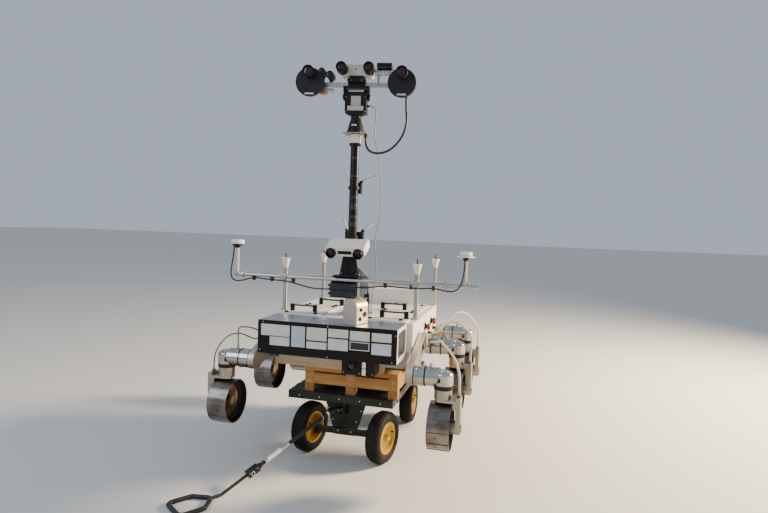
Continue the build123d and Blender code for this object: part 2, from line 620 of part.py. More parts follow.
def tapered_link(start, end, start_radius, end_radius):
    """The outline of a link that narrows from one round end to the other."""
    run = hypot(end[0] - start[0], end[1] - start[1])
    link = outline((0, -start_radius), (run, -end_radius), (run, end_radius), (0, start_radius))
    link += Circle(start_radius) + Pos(run, 0) * Circle(end_radius)
    return Pos(*start) * Rot(0, 0, degrees(atan2(end[1] - start[1], end[0] - start[0]))) * link


pivot = (BOGIE_PIVOT_Y, shelf_top - BOGIE_PIVOT_DROP)
ends = [(unit_y[row], unit_z[row] + DRIVE_RISE) for row in ("front", "middle")]
beam_outline = Sketch() + [tapered_link(pivot, end, ARM_ROOT, boss_radius) for end in ends]
bogie = plate_yz(beam_outline, BOGIE_INNER_X, bogie_outer_x)
pocket_outline = Sketch() + [tapered_link(pivot, end, ARM_ROOT - 14, 24) for end in ends]
for end in ends:
    pocket_outline -= Pos(*end) * Circle(boss_radius + 6)
pocket_outline -= Pos(*pivot) * Circle(ARM_ROOT + 4)
bogie -= plate_yz(pocket_outline, bogie_outer_x - BOGIE_POCKET, bogie_outer_x + 1)
bogie += bar((BOGIE_INNER_X, *pivot), (hull_side, *pivot), 30)
bogie += bar((bogie_outer_x, *pivot), (bogie_outer_x + 8, *pivot), 34)

# Rear bogie: a cross beam on a pivot in the middle of the hull's rear wall
rear_pivot_z = shelf_top - REAR_PIVOT_DROP
rear_end = (bogie_outer_x - BOGIE_THICK / 2, unit_z["rear"] + DRIVE_RISE)
rear_half = tapered_link((0, rear_pivot_z + 30), (rear_end[0] - 10, rear_end[1]), 44, 38)
rear_y = unit_y["rear"]
rear_bogie = plate_xz(rear_half, rear_y - 20, rear_y + 20)
rear_bogie -= block((bogie_outer_x, STEER_X), (rear_y - 21, rear_y + 21), (tub_bottom, shelf_top))
rear_bogie += bar((BOGIE_INNER_X, rear_y, rear_end[1]), (bogie_outer_x, rear_y, rear_end[1]), boss_radius)
rear_bogie += mirrored(rear_bogie)
rear_bogie += bar((0, hull_rear, rear_pivot_z + 70), (0, rear_y, rear_pivot_z + 40), 30)
rear_bogie -= block((-70, 70), (hull_rear - 40, hull_rear), (rear_pivot_z, rear_pivot_z + 120))
parts["bogies"] = Compound([bogie, mirrored(bogie), rear_bogie])

# Wheel units: a lateral drive on the bogie, and the round housing in which the leg steers
DRIVE_RADIUS = 52
HOUSING_RADIUS = 49
STEER_FACE_RISE = 190
HOUSING_TOP_RISE = 280
HOUSING_BOTTOM_RISE = 213
RING_RADIUS = HOUSING_RADIUS - 1.5
SHAFT_RADIUS = 18
SHAFT_LENGTH = 46
drive = bar((bogie_outer_x, 0, DRIVE_RISE), (bogie_outer_x + 58, 0, DRIVE_RISE), DRIVE_RADIUS)
drive += bar((bogie_outer_x + 58, 0, DRIVE_RISE), (bogie_outer_x + 62, 0, DRIVE_RISE), DRIVE_RADIUS - 4)
drive += bar((bogie_outer_x + 62, 0, DRIVE_RISE), (STEER_X - 20, 0, DRIVE_RISE), DRIVE_RADIUS - 3)
housing = disc(STEER_X, 0, HOUSING_BOTTOM_RISE, HOUSING_RADIUS, HOUSING_TOP_RISE - HOUSING_BOTTOM_RISE)
housing = fillet(housing.edges().group_by(Axis.Z)[-1], 16)
drive += housing
skirt_height = HOUSING_BOTTOM_RISE - STEER_FACE_RISE
drive += disc(STEER_X, 0, STEER_FACE_RISE + FACE_GAP, RING_RADIUS, skirt_height)
drive -= disc(STEER_X, 0, STEER_FACE_RISE, SHAFT_RADIUS + PIN_GAP, SHAFT_LENGTH + 2)
DRIVE_GLAND_X = 545
drive += disc(DRIVE_GLAND_X, 0, DRIVE_RISE + DRIVE_RADIUS - 6, 8, 22)
drives = []
for row, y, drop in UNIT_ROWS:
    placed = Pos(0, y, unit_z[row]) * drive
    drives += [placed, mirrored(placed)]
parts["drive_units"] = Compound(drives)

# Steered leg: turning cylinder, top plate, outer leg, and the wheel motor with its axle
LEG_INNER = WHEEL_X + 76
LEG_THICK = 24
LEG_WIDTH = 74
TOP_PLATE_RISE = 130
MOTOR_RADIUS = 36
MOTOR_REACH = 27
AXLE_PIN_RADIUS = 15
HUB_HALF = 26
leg = disc(STEER_X, 0, TOP_PLATE_RISE + 12, 45, STEER_FACE_RISE - TOP_PLATE_RISE - 12)
leg += disc(STEER_X, 0, STEER_FACE_RISE, SHAFT_RADIUS, SHAFT_LENGTH)
top_plate = block((STEER_X - 40, LEG_INNER + LEG_THICK), (-42, 42), (TOP_PLATE_RISE, TOP_PLATE_RISE + 12))
leg += fillet(top_plate.edges().filter_by(Axis.Z).group_by(Axis.X)[0], 30)
shin_top = TOP_PLATE_RISE + 26
shin = outline((-42, shin_top), (42, shin_top), (LEG_WIDTH / 2, 0), (-LEG_WIDTH / 2, 0))
shin += Circle(LEG_WIDTH / 2)
shin -= Pos(0, TOP_PLATE_RISE - 12) * RectangleRounded(18, 18, 2)
shin -= Pos(0, 62) * SlotOverall(44, 14, rotation=90)
leg += plate_yz(shin, LEG_INNER, LEG_INNER + LEG_THICK)
flange_z = (TOP_PLATE_RISE - 34, TOP_PLATE_RISE + 1)
for flange_y in (-42, 37):
    leg += block((LEG_INNER - 14, LEG_INNER + 1), (flange_y, flange_y + 5), flange_z)
leg += bar((LEG_INNER, 0, 0), (WHEEL_X + MOTOR_REACH, 0, 0), MOTOR_RADIUS)
leg += bar((WHEEL_X + MOTOR_REACH, 0, 0), (WHEEL_X - HUB_HALF - FACE_GAP, 0, 0), AXLE_PIN_RADIUS)
leg += bar((WHEEL_X - HUB_HALF - FACE_GAP, 0, 0), (WHEEL_X - HUB_HALF - 6, 0, 0), 22)
leg += bar((LEG_INNER + LEG_THICK, 0, 0), (LEG_INNER + LEG_THICK + 5, 0, 0), 26)
LEG_GLAND_X = LEG_INNER + LEG_THICK / 2
LEG_GLAND_TOP = TOP_PLATE_RISE + 44
leg += disc(LEG_GLAND_X, 0, TOP_PLATE_RISE + 20, 9, LEG_GLAND_TOP - TOP_PLATE_RISE - 20)

# Flexible wheel: twelve lapped tread plates on a ring, a dished web and a hub
PLATES = 12
LAP = 3
TREAD_THICK = 6
tread_radius = WHEEL_DIAMETER / 2
plate_turn = 360 / PLATES
edges = []
for plate in range(PLATES):
    turns = [radians(plate_turn * (plate + share)) for share in (0, 0.5, 1)]
    reach = (tread_radius, tread_radius - LAP * 0.4, tread_radius - LAP)
    start, middle, stop = [(r * cos(a), r * sin(a)) for r, a in zip(reach, turns)]
    step = (tread_radius * cos(turns[2]), tread_radius * sin(turns[2]))
    edges += [ThreePointArc(start, middle, stop), Line(stop, step)]
ring = make_face(edges) - Circle(tread_radius - TREAD_THICK)
wheel_half = WHEEL_WIDTH / 2
wheel = plate_yz(ring, -wheel_half, wheel_half)
web_radius = tread_radius - TREAD_THICK + 0.5
dish = outline(
    (HUB_HALF - 12, AXLE_PIN_RADIUS + 10),
    (HUB_HALF - 8, AXLE_PIN_RADIUS + 20),
    (-2, web_radius - 34),
    (-22, web_radius),
    (-26, web_radius),
    (-6, web_radius - 36),
    (HUB_HALF - 13, AXLE_PIN_RADIUS + 18),
    (HUB_HALF - 17, AXLE_PIN_RADIUS + 10),
)
wheel += spin_x(dish, 0)
wheel += spin_x(outline((-HUB_HALF, 0), (HUB_HALF, 0), (HUB_HALF, 30), (-HUB_HALF, 30)), 0)
wheel -= bar((-wheel_half, 0, 0), (wheel_half, 0, 0), AXLE_PIN_RADIUS + PIN_GAP)

for row, y, drop in UNIT_ROWS:
    for side_name, side in SIDES:
        placed_leg = Pos(0, y, unit_z[row]) * leg
        placed_wheel = Pos(WHEEL_X, y, unit_z[row]) * wheel
        if side < 0:
            placed_leg = mirrored(placed_leg)
            placed_wheel = mirrored(placed_wheel)
        parts["leg_" + row + "_" + side_name] = placed_leg
        parts["wheel_" + row + "_" + side_name] = placed_wheel

# Cart: a rail frame with a sheet deck, a front axle beam with knuckles, and a straight rear axle
axle_z = TYRE_DIAMETER / 2
deck_x = (CART_X - DECK_WIDTH / 2, CART_X + DECK_WIDTH / 2)
deck_y = (DECK_FRONT_Y, DECK_FRONT_Y + DECK_LENGTH)
DECK_SHEET = 3
rail_bottom = DECK_HEIGHT - RAIL - DECK_SHEET
RAIL_WIDTH = 30
inside_x = (deck_x[0] + RAIL_WIDTH, deck_x[1] - RAIL_WIDTH)
inside_y = (deck_y[0] + RAIL_WIDTH, deck_y[1] - RAIL_WIDTH)
frame = block(deck_x, deck_y, (rail_bottom, DECK_HEIGHT))
frame -= block(inside_x, inside_y, (rail_bottom - 1, DECK_HEIGHT - DECK_SHEET))
KINGPIN_X = 165
KINGPIN_RADIUS = 8
BARREL_RADIUS = 15
BARREL_HALF = 20
front_y = CART_FRONT_AXLE_Y
rear_axle_y = front_y + CART_WHEELBASE
for cross_y in (front_y, rear_axle_y):
    frame += block(inside_x, (cross_y - 24, cross_y + 24), (rail_bottom, DECK_HEIGHT - DECK_SHEET))
beam_x = (CART_X - KINGPIN_X, CART_X + KINGPIN_X)
frame += block(beam_x, (front_y - 15, front_y + 15), (axle_z - 15, axle_z + 15))
cheek = outline((-130, rail_bottom + 1), (130, rail_bottom + 1), (60, axle_z - 15), (-60, axle_z - 15))
for cheek_y in (front_y - 21, front_y + 15):
    frame += Pos(CART_X, 0, 0) * plate_xz(cheek, cheek_y, cheek_y + 6)
for side in (-1, 1):
    pin_x = CART_X + side * KINGPIN_X
    frame += disc(pin_x, front_y, axle_z - BARREL_HALF, BARREL_RADIUS, 2 * BARREL_HALF)
    frame -= disc(pin_x, front_y, axle_z - BARREL_HALF - 1, KINGPIN_RADIUS + PIN_GAP, 2 * BARREL_HALF + 2)
    hanger = outline((-50, rail_bottom + 1), (50, rail_bottom + 1), (20, axle_z - 18), (-20, axle_z - 18))
    hanger_x = CART_X + side * 130
    frame += Pos(0, rear_axle_y, 0) * plate_yz(hanger, hanger_x - 4, hanger_x + 4)
half_track = CART_TRACK / 2
RIM_HUB_HALF = 34
CART_AXLE_RADIUS = 10
frame += bar(
    (CART_X - half_track - RIM_HUB_HALF - 8, rear_axle_y, axle_z),
    (CART_X + half_track + RIM_HUB_HALF + 8, rear_axle_y, axle_z),
    CART_AXLE_RADIUS,
)
for side in (-1, 1):
    collar_x = CART_X + side * (half_track - RIM_HUB_HALF - FACE_GAP - 8)
    frame += bar((collar_x - side * 4, rear_axle_y, axle_z), (collar_x + side * 8, rear_axle_y, axle_z), 16)
TONGUE_Y = front_y - 50
TONGUE_Z = 300
TONGUE_HALF = 24
for lug_z in (TONGUE_Z - TONGUE_HALF - 8 - FACE_GAP, TONGUE_Z + TONGUE_HALF + FACE_GAP):
    frame += block((CART_X - 18, CART_X + 18), (TONGUE_Y, front_y - 18), (lug_z, lug_z + 8))
    frame += disc(CART_X, TONGUE_Y, lug_z, 18, 8)
frame += disc(CART_X, TONGUE_Y, TONGUE_Z - TONGUE_HALF - 8, KINGPIN_RADIUS, 2 * TONGUE_HALF + 16)
parts["cart_frame"] = frame

# Steering, at rest turned to the rover's right as in use: tongue, knuckles and the rod that joins them
TONGUE_TURN = -34
STEER_SHARE = 0.4
TONGUE_ARM = 90
DRAG_ARM = 30
KNUCKLE_ARM = 76
knuckle_turn = TONGUE_TURN * STEER_SHARE
tongue_frame = Pos(CART_X, TONGUE_Y, TONGUE_Z) * Rot(0, 0, TONGUE_TURN)
EYE_HALF = 11
EYE_RADIUS = 14
tongue = disc(0, 0, -TONGUE_HALF, 15, 2 * TONGUE_HALF)
tongue += block((-EYE_HALF - 9, EYE_HALF + 9), (-TONGUE_ARM + 22, -6), (-12, 12))
for side in (-1, 1):
    ear = (side * (EYE_HALF + 1), side * (EYE_HALF + 9))
    ear_block = block((min(ear), max(ear)), (-TONGUE_ARM, -TONGUE_ARM + 30), (-14, 14))
    ear_block += bar((ear[0], -TONGUE_ARM, 0), (ear[1], -TONGUE_ARM, 0), 14)
    tongue += ear_block
tongue -= disc(0, 0, -TONGUE_HALF - 1, KINGPIN_RADIUS + PIN_GAP, 2 * TONGUE_HALF + 2)
tongue += bar((-EYE_HALF - 9, -TONGUE_ARM, 0), (EYE_HALF + 9, -TONGUE_ARM, 0), 6)
ROD_Z = axle_z + 42
tongue += block((-9, 9), (-DRAG_ARM - 6, -9), (-TONGUE_HALF, -TONGUE_HALF + 8))
tongue += disc(0, -DRAG_ARM, ROD_Z - 7 - TONGUE_Z, 5, TONGUE_Z - ROD_Z + 7 - TONGUE_HALF + 4)
parts["cart_tongue"] = tongue_frame * tongue

knuckle = disc(0, 0, axle_z - BARREL_HALF - 10, KINGPIN_RADIUS, 2 * BARREL_HALF + 20)
for ear_z in (axle_z - BARREL_HALF - 9, axle_z + BARREL_HALF + 1):
    knuckle += block((0, 24), (-14, 14), (ear_z, ear_z + 8)) + disc(0, 0, ear_z, 14, 8)
knuckle += block((17, 25), (-16, 16), (axle_z - BARREL_HALF - 9, axle_z + BARREL_HALF + 9))
stub_reach = half_track + RIM_HUB_HALF + 8 - KINGPIN_X
knuckle += bar((20, 0, axle_z), (stub_reach, 0, axle_z), CART_AXLE_RADIUS)
knuckle += bar((20, 0, axle_z), (half_track - KINGPIN_X - RIM_HUB_HALF - FACE_GAP, 0, axle_z), 15)
arm_z = axle_z + BARREL_HALF + 1
knuckle += block((-8, 8), (-KNUCKLE_ARM, 0), (arm_z, arm_z + 8)) + disc(0, -KNUCKLE_ARM, arm_z, 11, 8)
knuckle += disc(0, -KNUCKLE_ARM, arm_z, 5, ROD_Z - arm_z + 8)
for side_name, side in SIDES:
    sided = knuckle if side > 0 else mirrored(knuckle)
    kingpin = Pos(CART_X + side * KINGPIN_X, front_y, 0)
    parts["knuckle_" + side_name] = kingpin * Rot(0, 0, knuckle_turn) * sided

rod_shift = KNUCKLE_ARM * sin(radians(knuckle_turn))
rod_y = front_y - KNUCKLE_ARM * cos(radians(knuckle_turn))
rod_x = CART_X + rod_shift
rod = bar((rod_x - KINGPIN_X, rod_y, ROD_Z), (rod_x + KINGPIN_X, rod_y, ROD_Z), 5)
rod += block((rod_x - 26, rod_x + 26), (rod_y - 20, rod_y + 20), (ROD_Z - 4, ROD_Z + 4))
for side in (-1, 1):
    rod += disc(rod_x + side * KINGPIN_X, rod_y, ROD_Z - 6, 11, 12)
    rod -= disc(rod_x + side * KINGPIN_X, rod_y, ROD_Z - 7, 5 + PIN_GAP, 14)
slot = Pos(rod_x, rod_y) * SlotOverall(28, 15, rotation=90)
rod -= extrude(Plane.XY.offset(ROD_Z - 8) * slot, 16)
parts["track_rod"] = rod

# Pull pole, dropped so that its grip lies flat on the ground
POLE_DROP = 23.7
POLE_RADIUS = 10
COUPLER_START = 500
COUPLER_LENGTH = 66
GRIP_RADIUS = 11
GRIP_LENGTH = 190
GRIP_WIDTH = 150
pole = bar((0, 0, 0), (0, -COUPLER_START - 6, 0), POLE_RADIUS)
pole += bar((-EYE_HALF, 0, 0), (EYE_HALF, 0, 0), EYE_RADIUS)
pole -= bar((-EYE_HALF - 1, 0, 0), (EYE_HALF + 1, 0, 0), 6 + PIN_GAP)
pole_frame = tongue_frame * Pos(0, -TONGUE_ARM, 0)
drop = radians(POLE_DROP)
coupler = block((-21, 21), (-COUPLER_START - COUPLER_LENGTH, -COUPLER_START), (-17, 17))
coupler = fillet(coupler.edges().filter_by(Axis.Y), 6)
TOW_BORE_RADIUS = 6
coupler -= bar((-22, -COUPLER_START - 42, 0), (22, -COUPLER_START - 42, 0), TOW_BORE_RADIUS)
grip = Rot(POLE_DROP, 0, 0) * coupler
end_y = -(COUPLER_START + COUPLER_LENGTH - 2) * cos(drop)
end_z = -(COUPLER_START + COUPLER_LENGTH - 2) * sin(drop)
floor_z = GRIP_RADIUS - TONGUE_Z
bend_y = end_y - (end_z - floor_z) / tan(drop)
stem = FilletPolyline((0, end_y, end_z), (0, bend_y, floor_z), (0, bend_y - 50, floor_z), radius=40)
grip += sweep(Plane(origin=stem @ 0, z_dir=stem % 0) * Circle(8), path=stem)
loop_y = bend_y - 48
grip_half = GRIP_WIDTH / 2
GRIP_SHOULDER = 70
corners = (
    (0, 0),
    (grip_half, -GRIP_SHOULDER),
    (grip_half, -GRIP_LENGTH),
    (-grip_half, -GRIP_LENGTH),
    (-grip_half, -GRIP_SHOULDER),
)
loop = FilletPolyline(*[(x, loop_y + y, floor_z) for x, y in corners], radius=26, close=True)
grip += sweep(Plane(origin=loop @ 0, z_dir=loop % 0) * Circle(GRIP_RADIUS), path=loop)
parts["pull_pole"] = pole_frame * (Rot(POLE_DROP, 0, 0) * pole + grip)

# Cart wheels: yellow steel rims with a dished web, and wide tyres
rim_radius = RIM_DIAMETER / 2
rim = spin_x(
    outline(
        (-RIM_HUB_HALF, 0), (RIM_HUB_HALF, 0), (RIM_HUB_HALF, 17), (20, 20), (22, rim_radius - 24),
        (36, rim_radius - 14), (36, rim_radius + 6), (33, rim_radius + 6), (33, rim_radius),
        (-33, rim_radius), (-33, rim_radius + 6), (-36, rim_radius + 6), (-36, rim_radius - 5),
        (16, rim_radius - 5), (16, 20), (-RIM_HUB_HALF, 17),
    ),
    0,
)
rim -= bar((-RIM_HUB_HALF - 1, 0, 0), (RIM_HUB_HALF + 1, 0, 0), CART_AXLE_RADIUS + PIN_GAP)
tyre_radius = TYRE_DIAMETER / 2
tyre_half = TYRE_WIDTH / 2
tyre = spin_x(
    outline(
        (-32.8, rim_radius + SEAT_GAP), (32.8, rim_radius + SEAT_GAP), (32.8, rim_radius + 6.3),
        (36, rim_radius + 7), (tyre_half, rim_radius + 30),
        (tyre_half - 3, tyre_radius - 16), (tyre_half - 14, tyre_radius - 4), (tyre_half - 30, tyre_radius),
        (30 - tyre_half, tyre_radius), (14 - tyre_half, tyre_radius - 4), (3 - tyre_half, tyre_radius - 16),
        (-tyre_half, rim_radius + 30), (-36, rim_radius + 7), (-32.8, rim_radius + 6.3),
    ),
    0,
)
for side_name, side in SIDES:
    hub_side = Rot(0, 0, 0 if side > 0 else 180)
    front_frame = Pos(CART_X + side * KINGPIN_X, front_y, axle_z) * Rot(0, 0, knuckle_turn)
    front_frame = front_frame * Pos(side * (half_track - KINGPIN_X), 0, 0) * hub_side
    rear_frame = Pos(CART_X + side * half_track, rear_axle_y, axle_z) * hub_side
    for end_name, frame_at in (("front", front_frame), ("rear", rear_frame)):
        parts["rim_" + end_name + "_" + side_name] = frame_at * rim
        parts["tyre_" + end_name + "_" + side_name] = frame_at * tyre

# Pallet: corner blocks, side and end boards on edge, and flat boards on top
BOARD = 25
BOARD_WIDTH = 95
BLOCK = 54
pallet_x = (PALLET_X - PALLET_WIDTH / 2, PALLET_X + PALLET_WIDTH / 2)
pallet_y = (PALLET_FRONT_Y, PALLET_FRONT_Y + PALLET_LENGTH)
pallet_top = DECK_HEIGHT + PALLET_HEIGHT
board_bottom = pallet_top - BOARD
pallet = block(pallet_x, (pallet_y[0], pallet_y[0] + BOARD_WIDTH), (board_bottom, pallet_top))
for share in (0.33, 0.67, 1):
    rear_edge = pallet_y[0] + BOARD_WIDTH + share * (PALLET_LENGTH - BOARD_WIDTH)
    pallet += block(pallet_x, (rear_edge - BOARD_WIDTH, rear_edge), (board_bottom, pallet_top))
BLOCK_HEIGHT = 48
block_top = DECK_HEIGHT + BLOCK_HEIGHT
for block_x in (pallet_x[0], PALLET_X - BLOCK / 2, pallet_x[1] - BLOCK):
    pallet += block((block_x, block_x + BLOCK), pallet_y, (block_top, board_bottom))
    for block_y in (pallet_y[0], (pallet_y[0] + pallet_y[1] - BLOCK) / 2, pallet_y[1] - BLOCK):
        pallet += block((block_x, block_x + BLOCK), (block_y, block_y + BLOCK), (DECK_HEIGHT, block_top))
for end_y_low in (pallet_y[0] + 3, pallet_y[1] - 3 - BOARD):
    pallet += block(pallet_x, (end_y_low, end_y_low + BOARD), (block_top, DECK_HEIGHT + 110))
parts["pallet"] = pallet
TIMBER_LEFT_X = 250
TIMBER_WIDTH = 48
timbers = []
timber_x = (TIMBER_LEFT_X - TIMBER_LENGTH, TIMBER_LEFT_X)
for timber_y in (PALLET_FRONT_Y - 6, PALLET_FRONT_Y + PALLET_LENGTH - TIMBER_WIDTH - 20):
    timbers.append(block(timber_x, (timber_y, timber_y + TIMBER_WIDTH), (pallet_top, tub_bottom)))
parts["spacer_timbers"] = Compound(timbers)

# Hoses and cables, each from its gland to the piece it serves; the points were chosen by hand
HOSE_RADIUS = 6.5
CABLE_RADIUS = 4
HEAD_CABLE_RADIUS = 6.5
WIRE_RADIUS = 3
leg_top = {row: z + LEG_GLAND_TOP for row, z in unit_z.items()}
drive_gland_top = unit_z["front"] + DRIVE_RISE + DRIVE_RADIUS + 16
HOSE_FRONT_LEFT = (
    (pocket_floor + GLAND_LENGTH, 480, 700),
    (512, 480, 700),
    (540, 425, 724),
    (556, 347, 733),
    (588, 268, 727),
    (628, 198, 712),
    (664, 142, 680),
    (690, 100, 622),
    (LEG_GLAND_X, unit_y["front"], leg_top["front"] + 44),
    (LEG_GLAND_X, unit_y["front"], leg_top["front"]),
)
HOSE_MIDDLE_LEFT = (
    (hull_side + GLAND_LENGTH, 715, 712),
    (478, 715, 712),
    (516, 700, 764),
    (568, 676, 800),
    (628, 652, 790),
    (677, 640, 752),
    (704, 633, 698),
    (LEG_GLAND_X, unit_y["middle"], leg_top["middle"] + 52),
    (LEG_GLAND_X, unit_y["middle"], leg_top["middle"]),
)
HOSE_REAR_LEFT = (
    (hull_side + GLAND_LENGTH, 900, 712),
    (478, 900, 712),
    (516, 920, 768),
    (566, 958, 818),
    (616, 1010, 810),
    (655, 1072, 764),
    (688, 1132, 698),
    (698, 1166, 646),
    (LEG_GLAND_X, unit_y["rear"], leg_top["rear"] + 42),
    (LEG_GLAND_X, unit_y["rear"], leg_top["rear"]),
)
CABLE_FRONT_RIGHT = (
    (-pocket_floor - GLAND_LENGTH, 300, 688),
    (-498, 300, 688),
    (-526, 268, 672),
    (-547, 226, 692),
    (-583, 182, 722),
    (-630, 148, 716),
    (-664, 120, 680),
    (-688, 98, 626),
    (-LEG_GLAND_X, unit_y["front"], leg_top["front"] + 46),
    (-LEG_GLAND_X, unit_y["front"], leg_top["front"]),
)
DRIVE_CABLE = (
    (-pocket_floor - GLAND_LENGTH, 330, 698),
    (-498, 330, 698),
    (-532, 300, 722),
    (-560, 256, 744),
    (-584, 206, 753),
    (-578, 152, 757),
    (-556, 106, 744),
    (-DRIVE_GLAND_X, unit_y["front"], drive_gland_top + 34),
    (-DRIVE_GLAND_X, unit_y["front"], drive_gland_top),
)
BAR_CABLE_RIGHT = (
    (BAR_COLLARS[0] + 8, BAR_Y, bar_z - 17),
    (-600, BAR_Y, bar_z - 17),
    (-540, BAR_Y - 1, 1025),
    (-482, BAR_Y + 1, 1021),
    (-424, BAR_Y, 1020),
    (-368, BAR_Y + 2, 1016),
    (-312, BAR_Y + 4, 1004),
    (-256, BAR_Y + 8, 990),
    (-200, BAR_Y + 13, 982),
    (-150, BAR_Y + 16, 984),
    (COMPUTER_X[0], BAR_Y + 16, 984),
)
BAR_CABLE_LEFT = (
    (COMPUTER_X[1], BAR_Y + 16, 1004),
    (92, BAR_Y + 16, 1004),
    (138, BAR_Y + 9, 1010),
    (192, BAR_Y + 1, 1020),
    (250, BAR_Y + 2, 1023),
    (308, BAR_Y - 1, 1020),
    (366, BAR_Y + 1, 1019),
    (424, BAR_Y, 1021),
    (476, BAR_Y + 1, 1026),
    (518, BAR_Y, bar_z - 17),
    (BAR_COLLARS[1] - 8, BAR_Y, bar_z - 17),
)
head_x, head_y = cos(radians(HEAD_TURN)), sin(radians(HEAD_TURN))
cable_end_x = MAST_X + (HEAD_CABLE_X - MAST_X) * head_x
cable_end_y = MAST_Y + (HEAD_CABLE_X - MAST_X) * head_y
HEAD_CABLE = (
    (cable_end_x, cable_end_y, TILT_Z),
    (cable_end_x, cable_end_y, 2042),
    (294, 449, 1966),
    (280, 438, 1893),
    (246, 425, 1834),
    (200, 413, 1792),
    (152, 405, 1777),
    (106, 402, 1780),
    (75, 405, 1802),
    (CABLE_GLAND_X, MAST_Y, PLATE_Z - CABLE_GLAND_HEIGHT - 32),
    (CABLE_GLAND_X, MAST_Y, PLATE_Z - CABLE_GLAND_HEIGHT),
)
wire_end_x = MAST_X + (WIRE_START_X - MAST_X) * head_x - (wire_y - MAST_Y) * head_y
wire_end_y = MAST_Y + (WIRE_START_X - MAST_X) * head_y + (wire_y - MAST_Y) * head_x
HEAD_WIRE = (
    (wire_end_x, wire_end_y, WIRE_START_Z),
    (wire_end_x + 26 * head_x, wire_end_y + 26 * head_y, WIRE_START_Z),
    (112, 439, 2024),
    (111, 437, 1966),
    (107, 434, 1890),
    (123, 432, 1810),
    (144, 431, 1730),
    (154, 430, 1648),
    (160, 431, 1564),
    (163, 430, 1480),
    (154, 431, 1400),
    (137, 430, 1322),
    (131, 433, 1244),
    (142, 437, 1170),
    (141, 440, 1092),
    (131, 445, 1012),
    (120, 452, 940),
    (*WIRE_GLAND, shelf_top + WIRE_GLAND_HEIGHT + 44),
    (*WIRE_GLAND, shelf_top + WIRE_GLAND_HEIGHT),
)
parts["hose_front_left"] = cord("hose_front_left", HOSE_FRONT_LEFT, HOSE_RADIUS)
parts["hose_middle_left"] = cord("hose_middle_left", HOSE_MIDDLE_LEFT, HOSE_RADIUS)
parts["hose_rear_left"] = cord("hose_rear_left", HOSE_REAR_LEFT, HOSE_RADIUS)
parts["cable_front_right"] = cord("cable_front_right", CABLE_FRONT_RIGHT, CABLE_RADIUS)
body_cables = [cord("drive_cable", DRIVE_CABLE, CABLE_RADIUS)]
body_cables += [cord("bar_cable", route, CABLE_RADIUS) for route in (BAR_CABLE_RIGHT, BAR_CABLE_LEFT)]
parts["body_cables"] = Compound(body_cables)
parts["head_cables"] = Compound(
    [cord("head_cable", HEAD_CABLE, HEAD_CABLE_RADIUS), cord("head_wire", HEAD_WIRE, WIRE_RADIUS)]
)

# Origin: the middle of the footprint, on the ground
whole = Compound([shape for shape in parts.values()]).bounding_box()
shift = Pos(-(whole.min.X + whole.max.X) / 2, -(whole.min.Y + whole.max.Y) / 2, -whole.min.Z)
for name, shape in parts.items():
    export_step(shift * shape, "parts/" + name + ".step")
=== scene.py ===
"""Looks of the planetary rover prototype on its pallet and pull cart. Metres, in the frame of the model."""

from math import cos, pi, radians, sin

import bmesh
import bpy
from mathutils import Matrix, Vector


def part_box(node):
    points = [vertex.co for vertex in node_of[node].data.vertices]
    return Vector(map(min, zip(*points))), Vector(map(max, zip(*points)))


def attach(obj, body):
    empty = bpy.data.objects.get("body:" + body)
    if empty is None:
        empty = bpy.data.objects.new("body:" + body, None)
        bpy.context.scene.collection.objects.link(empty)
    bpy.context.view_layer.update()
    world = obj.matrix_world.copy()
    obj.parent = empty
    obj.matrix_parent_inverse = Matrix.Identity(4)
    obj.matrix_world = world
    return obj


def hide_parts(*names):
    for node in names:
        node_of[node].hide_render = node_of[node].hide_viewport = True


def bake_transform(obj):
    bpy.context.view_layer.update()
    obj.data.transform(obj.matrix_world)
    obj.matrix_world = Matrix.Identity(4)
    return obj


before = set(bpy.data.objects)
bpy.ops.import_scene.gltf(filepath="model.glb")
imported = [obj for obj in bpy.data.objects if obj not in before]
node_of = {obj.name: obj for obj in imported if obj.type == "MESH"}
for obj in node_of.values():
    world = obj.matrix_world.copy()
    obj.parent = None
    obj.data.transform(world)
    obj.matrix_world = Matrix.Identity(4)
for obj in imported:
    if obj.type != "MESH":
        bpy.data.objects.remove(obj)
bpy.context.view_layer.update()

# The rover's own zero: the middle of its front panel's face, on the ground.
# Routes and places below are given from there, in metres, with +X to the rover's left.
panel_low, panel_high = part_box("front_panel")
zero = Vector(((panel_low.x + panel_high.x) / 2, panel_low.y, 0))


def from_zero(x, y, z):
    return zero + Vector((x, y, z))


# Camera: at a standing photographer's eye height, ahead of the rover and to its left.
# The lens is a wide one, held level but for a slight dip and a slight roll.
camera_data = bpy.data.cameras.new("camera")
camera_data.lens = 26.05
camera_data.sensor_width = 36
CAMERA_HEADING = radians(14.226)
CAMERA_DIP = radians(-2.845)
CAMERA_ROLL = radians(1.968)
CAMERA_PLACE = from_zero(0.982, -2.694, 1.347)
camera = bpy.data.objects.new("camera", camera_data)
turn = Matrix.Rotation(CAMERA_HEADING, 3, "Z") @ Matrix.Rotation(pi / 2 + CAMERA_DIP, 3, "X")
camera.rotation_euler = (turn @ Matrix.Rotation(CAMERA_ROLL, 3, "Z")).to_euler()
camera.location = CAMERA_PLACE
bpy.context.scene.collection.objects.link(camera)
bpy.context.scene.camera = camera


# Studio: a pale floor that runs out to a pale sky, one warm soft lamp low on the rover's left and
# behind it, as the evening sun stands in the photograph, and a cool fill from the front.
def node(tree, kind, inputs=None, **settings):
    """Adds a shader node; each input is a plain value or another node's output."""
    made = tree.nodes.new("ShaderNode" + kind)
    for key, value in settings.items():
        setattr(made, key, value)
    for key, value in (inputs or {}).items():
        if isinstance(value, bpy.types.NodeSocket):
            tree.links.new(value, made.inputs[key])
        else:
            made.inputs[key].default_value = value
    return made


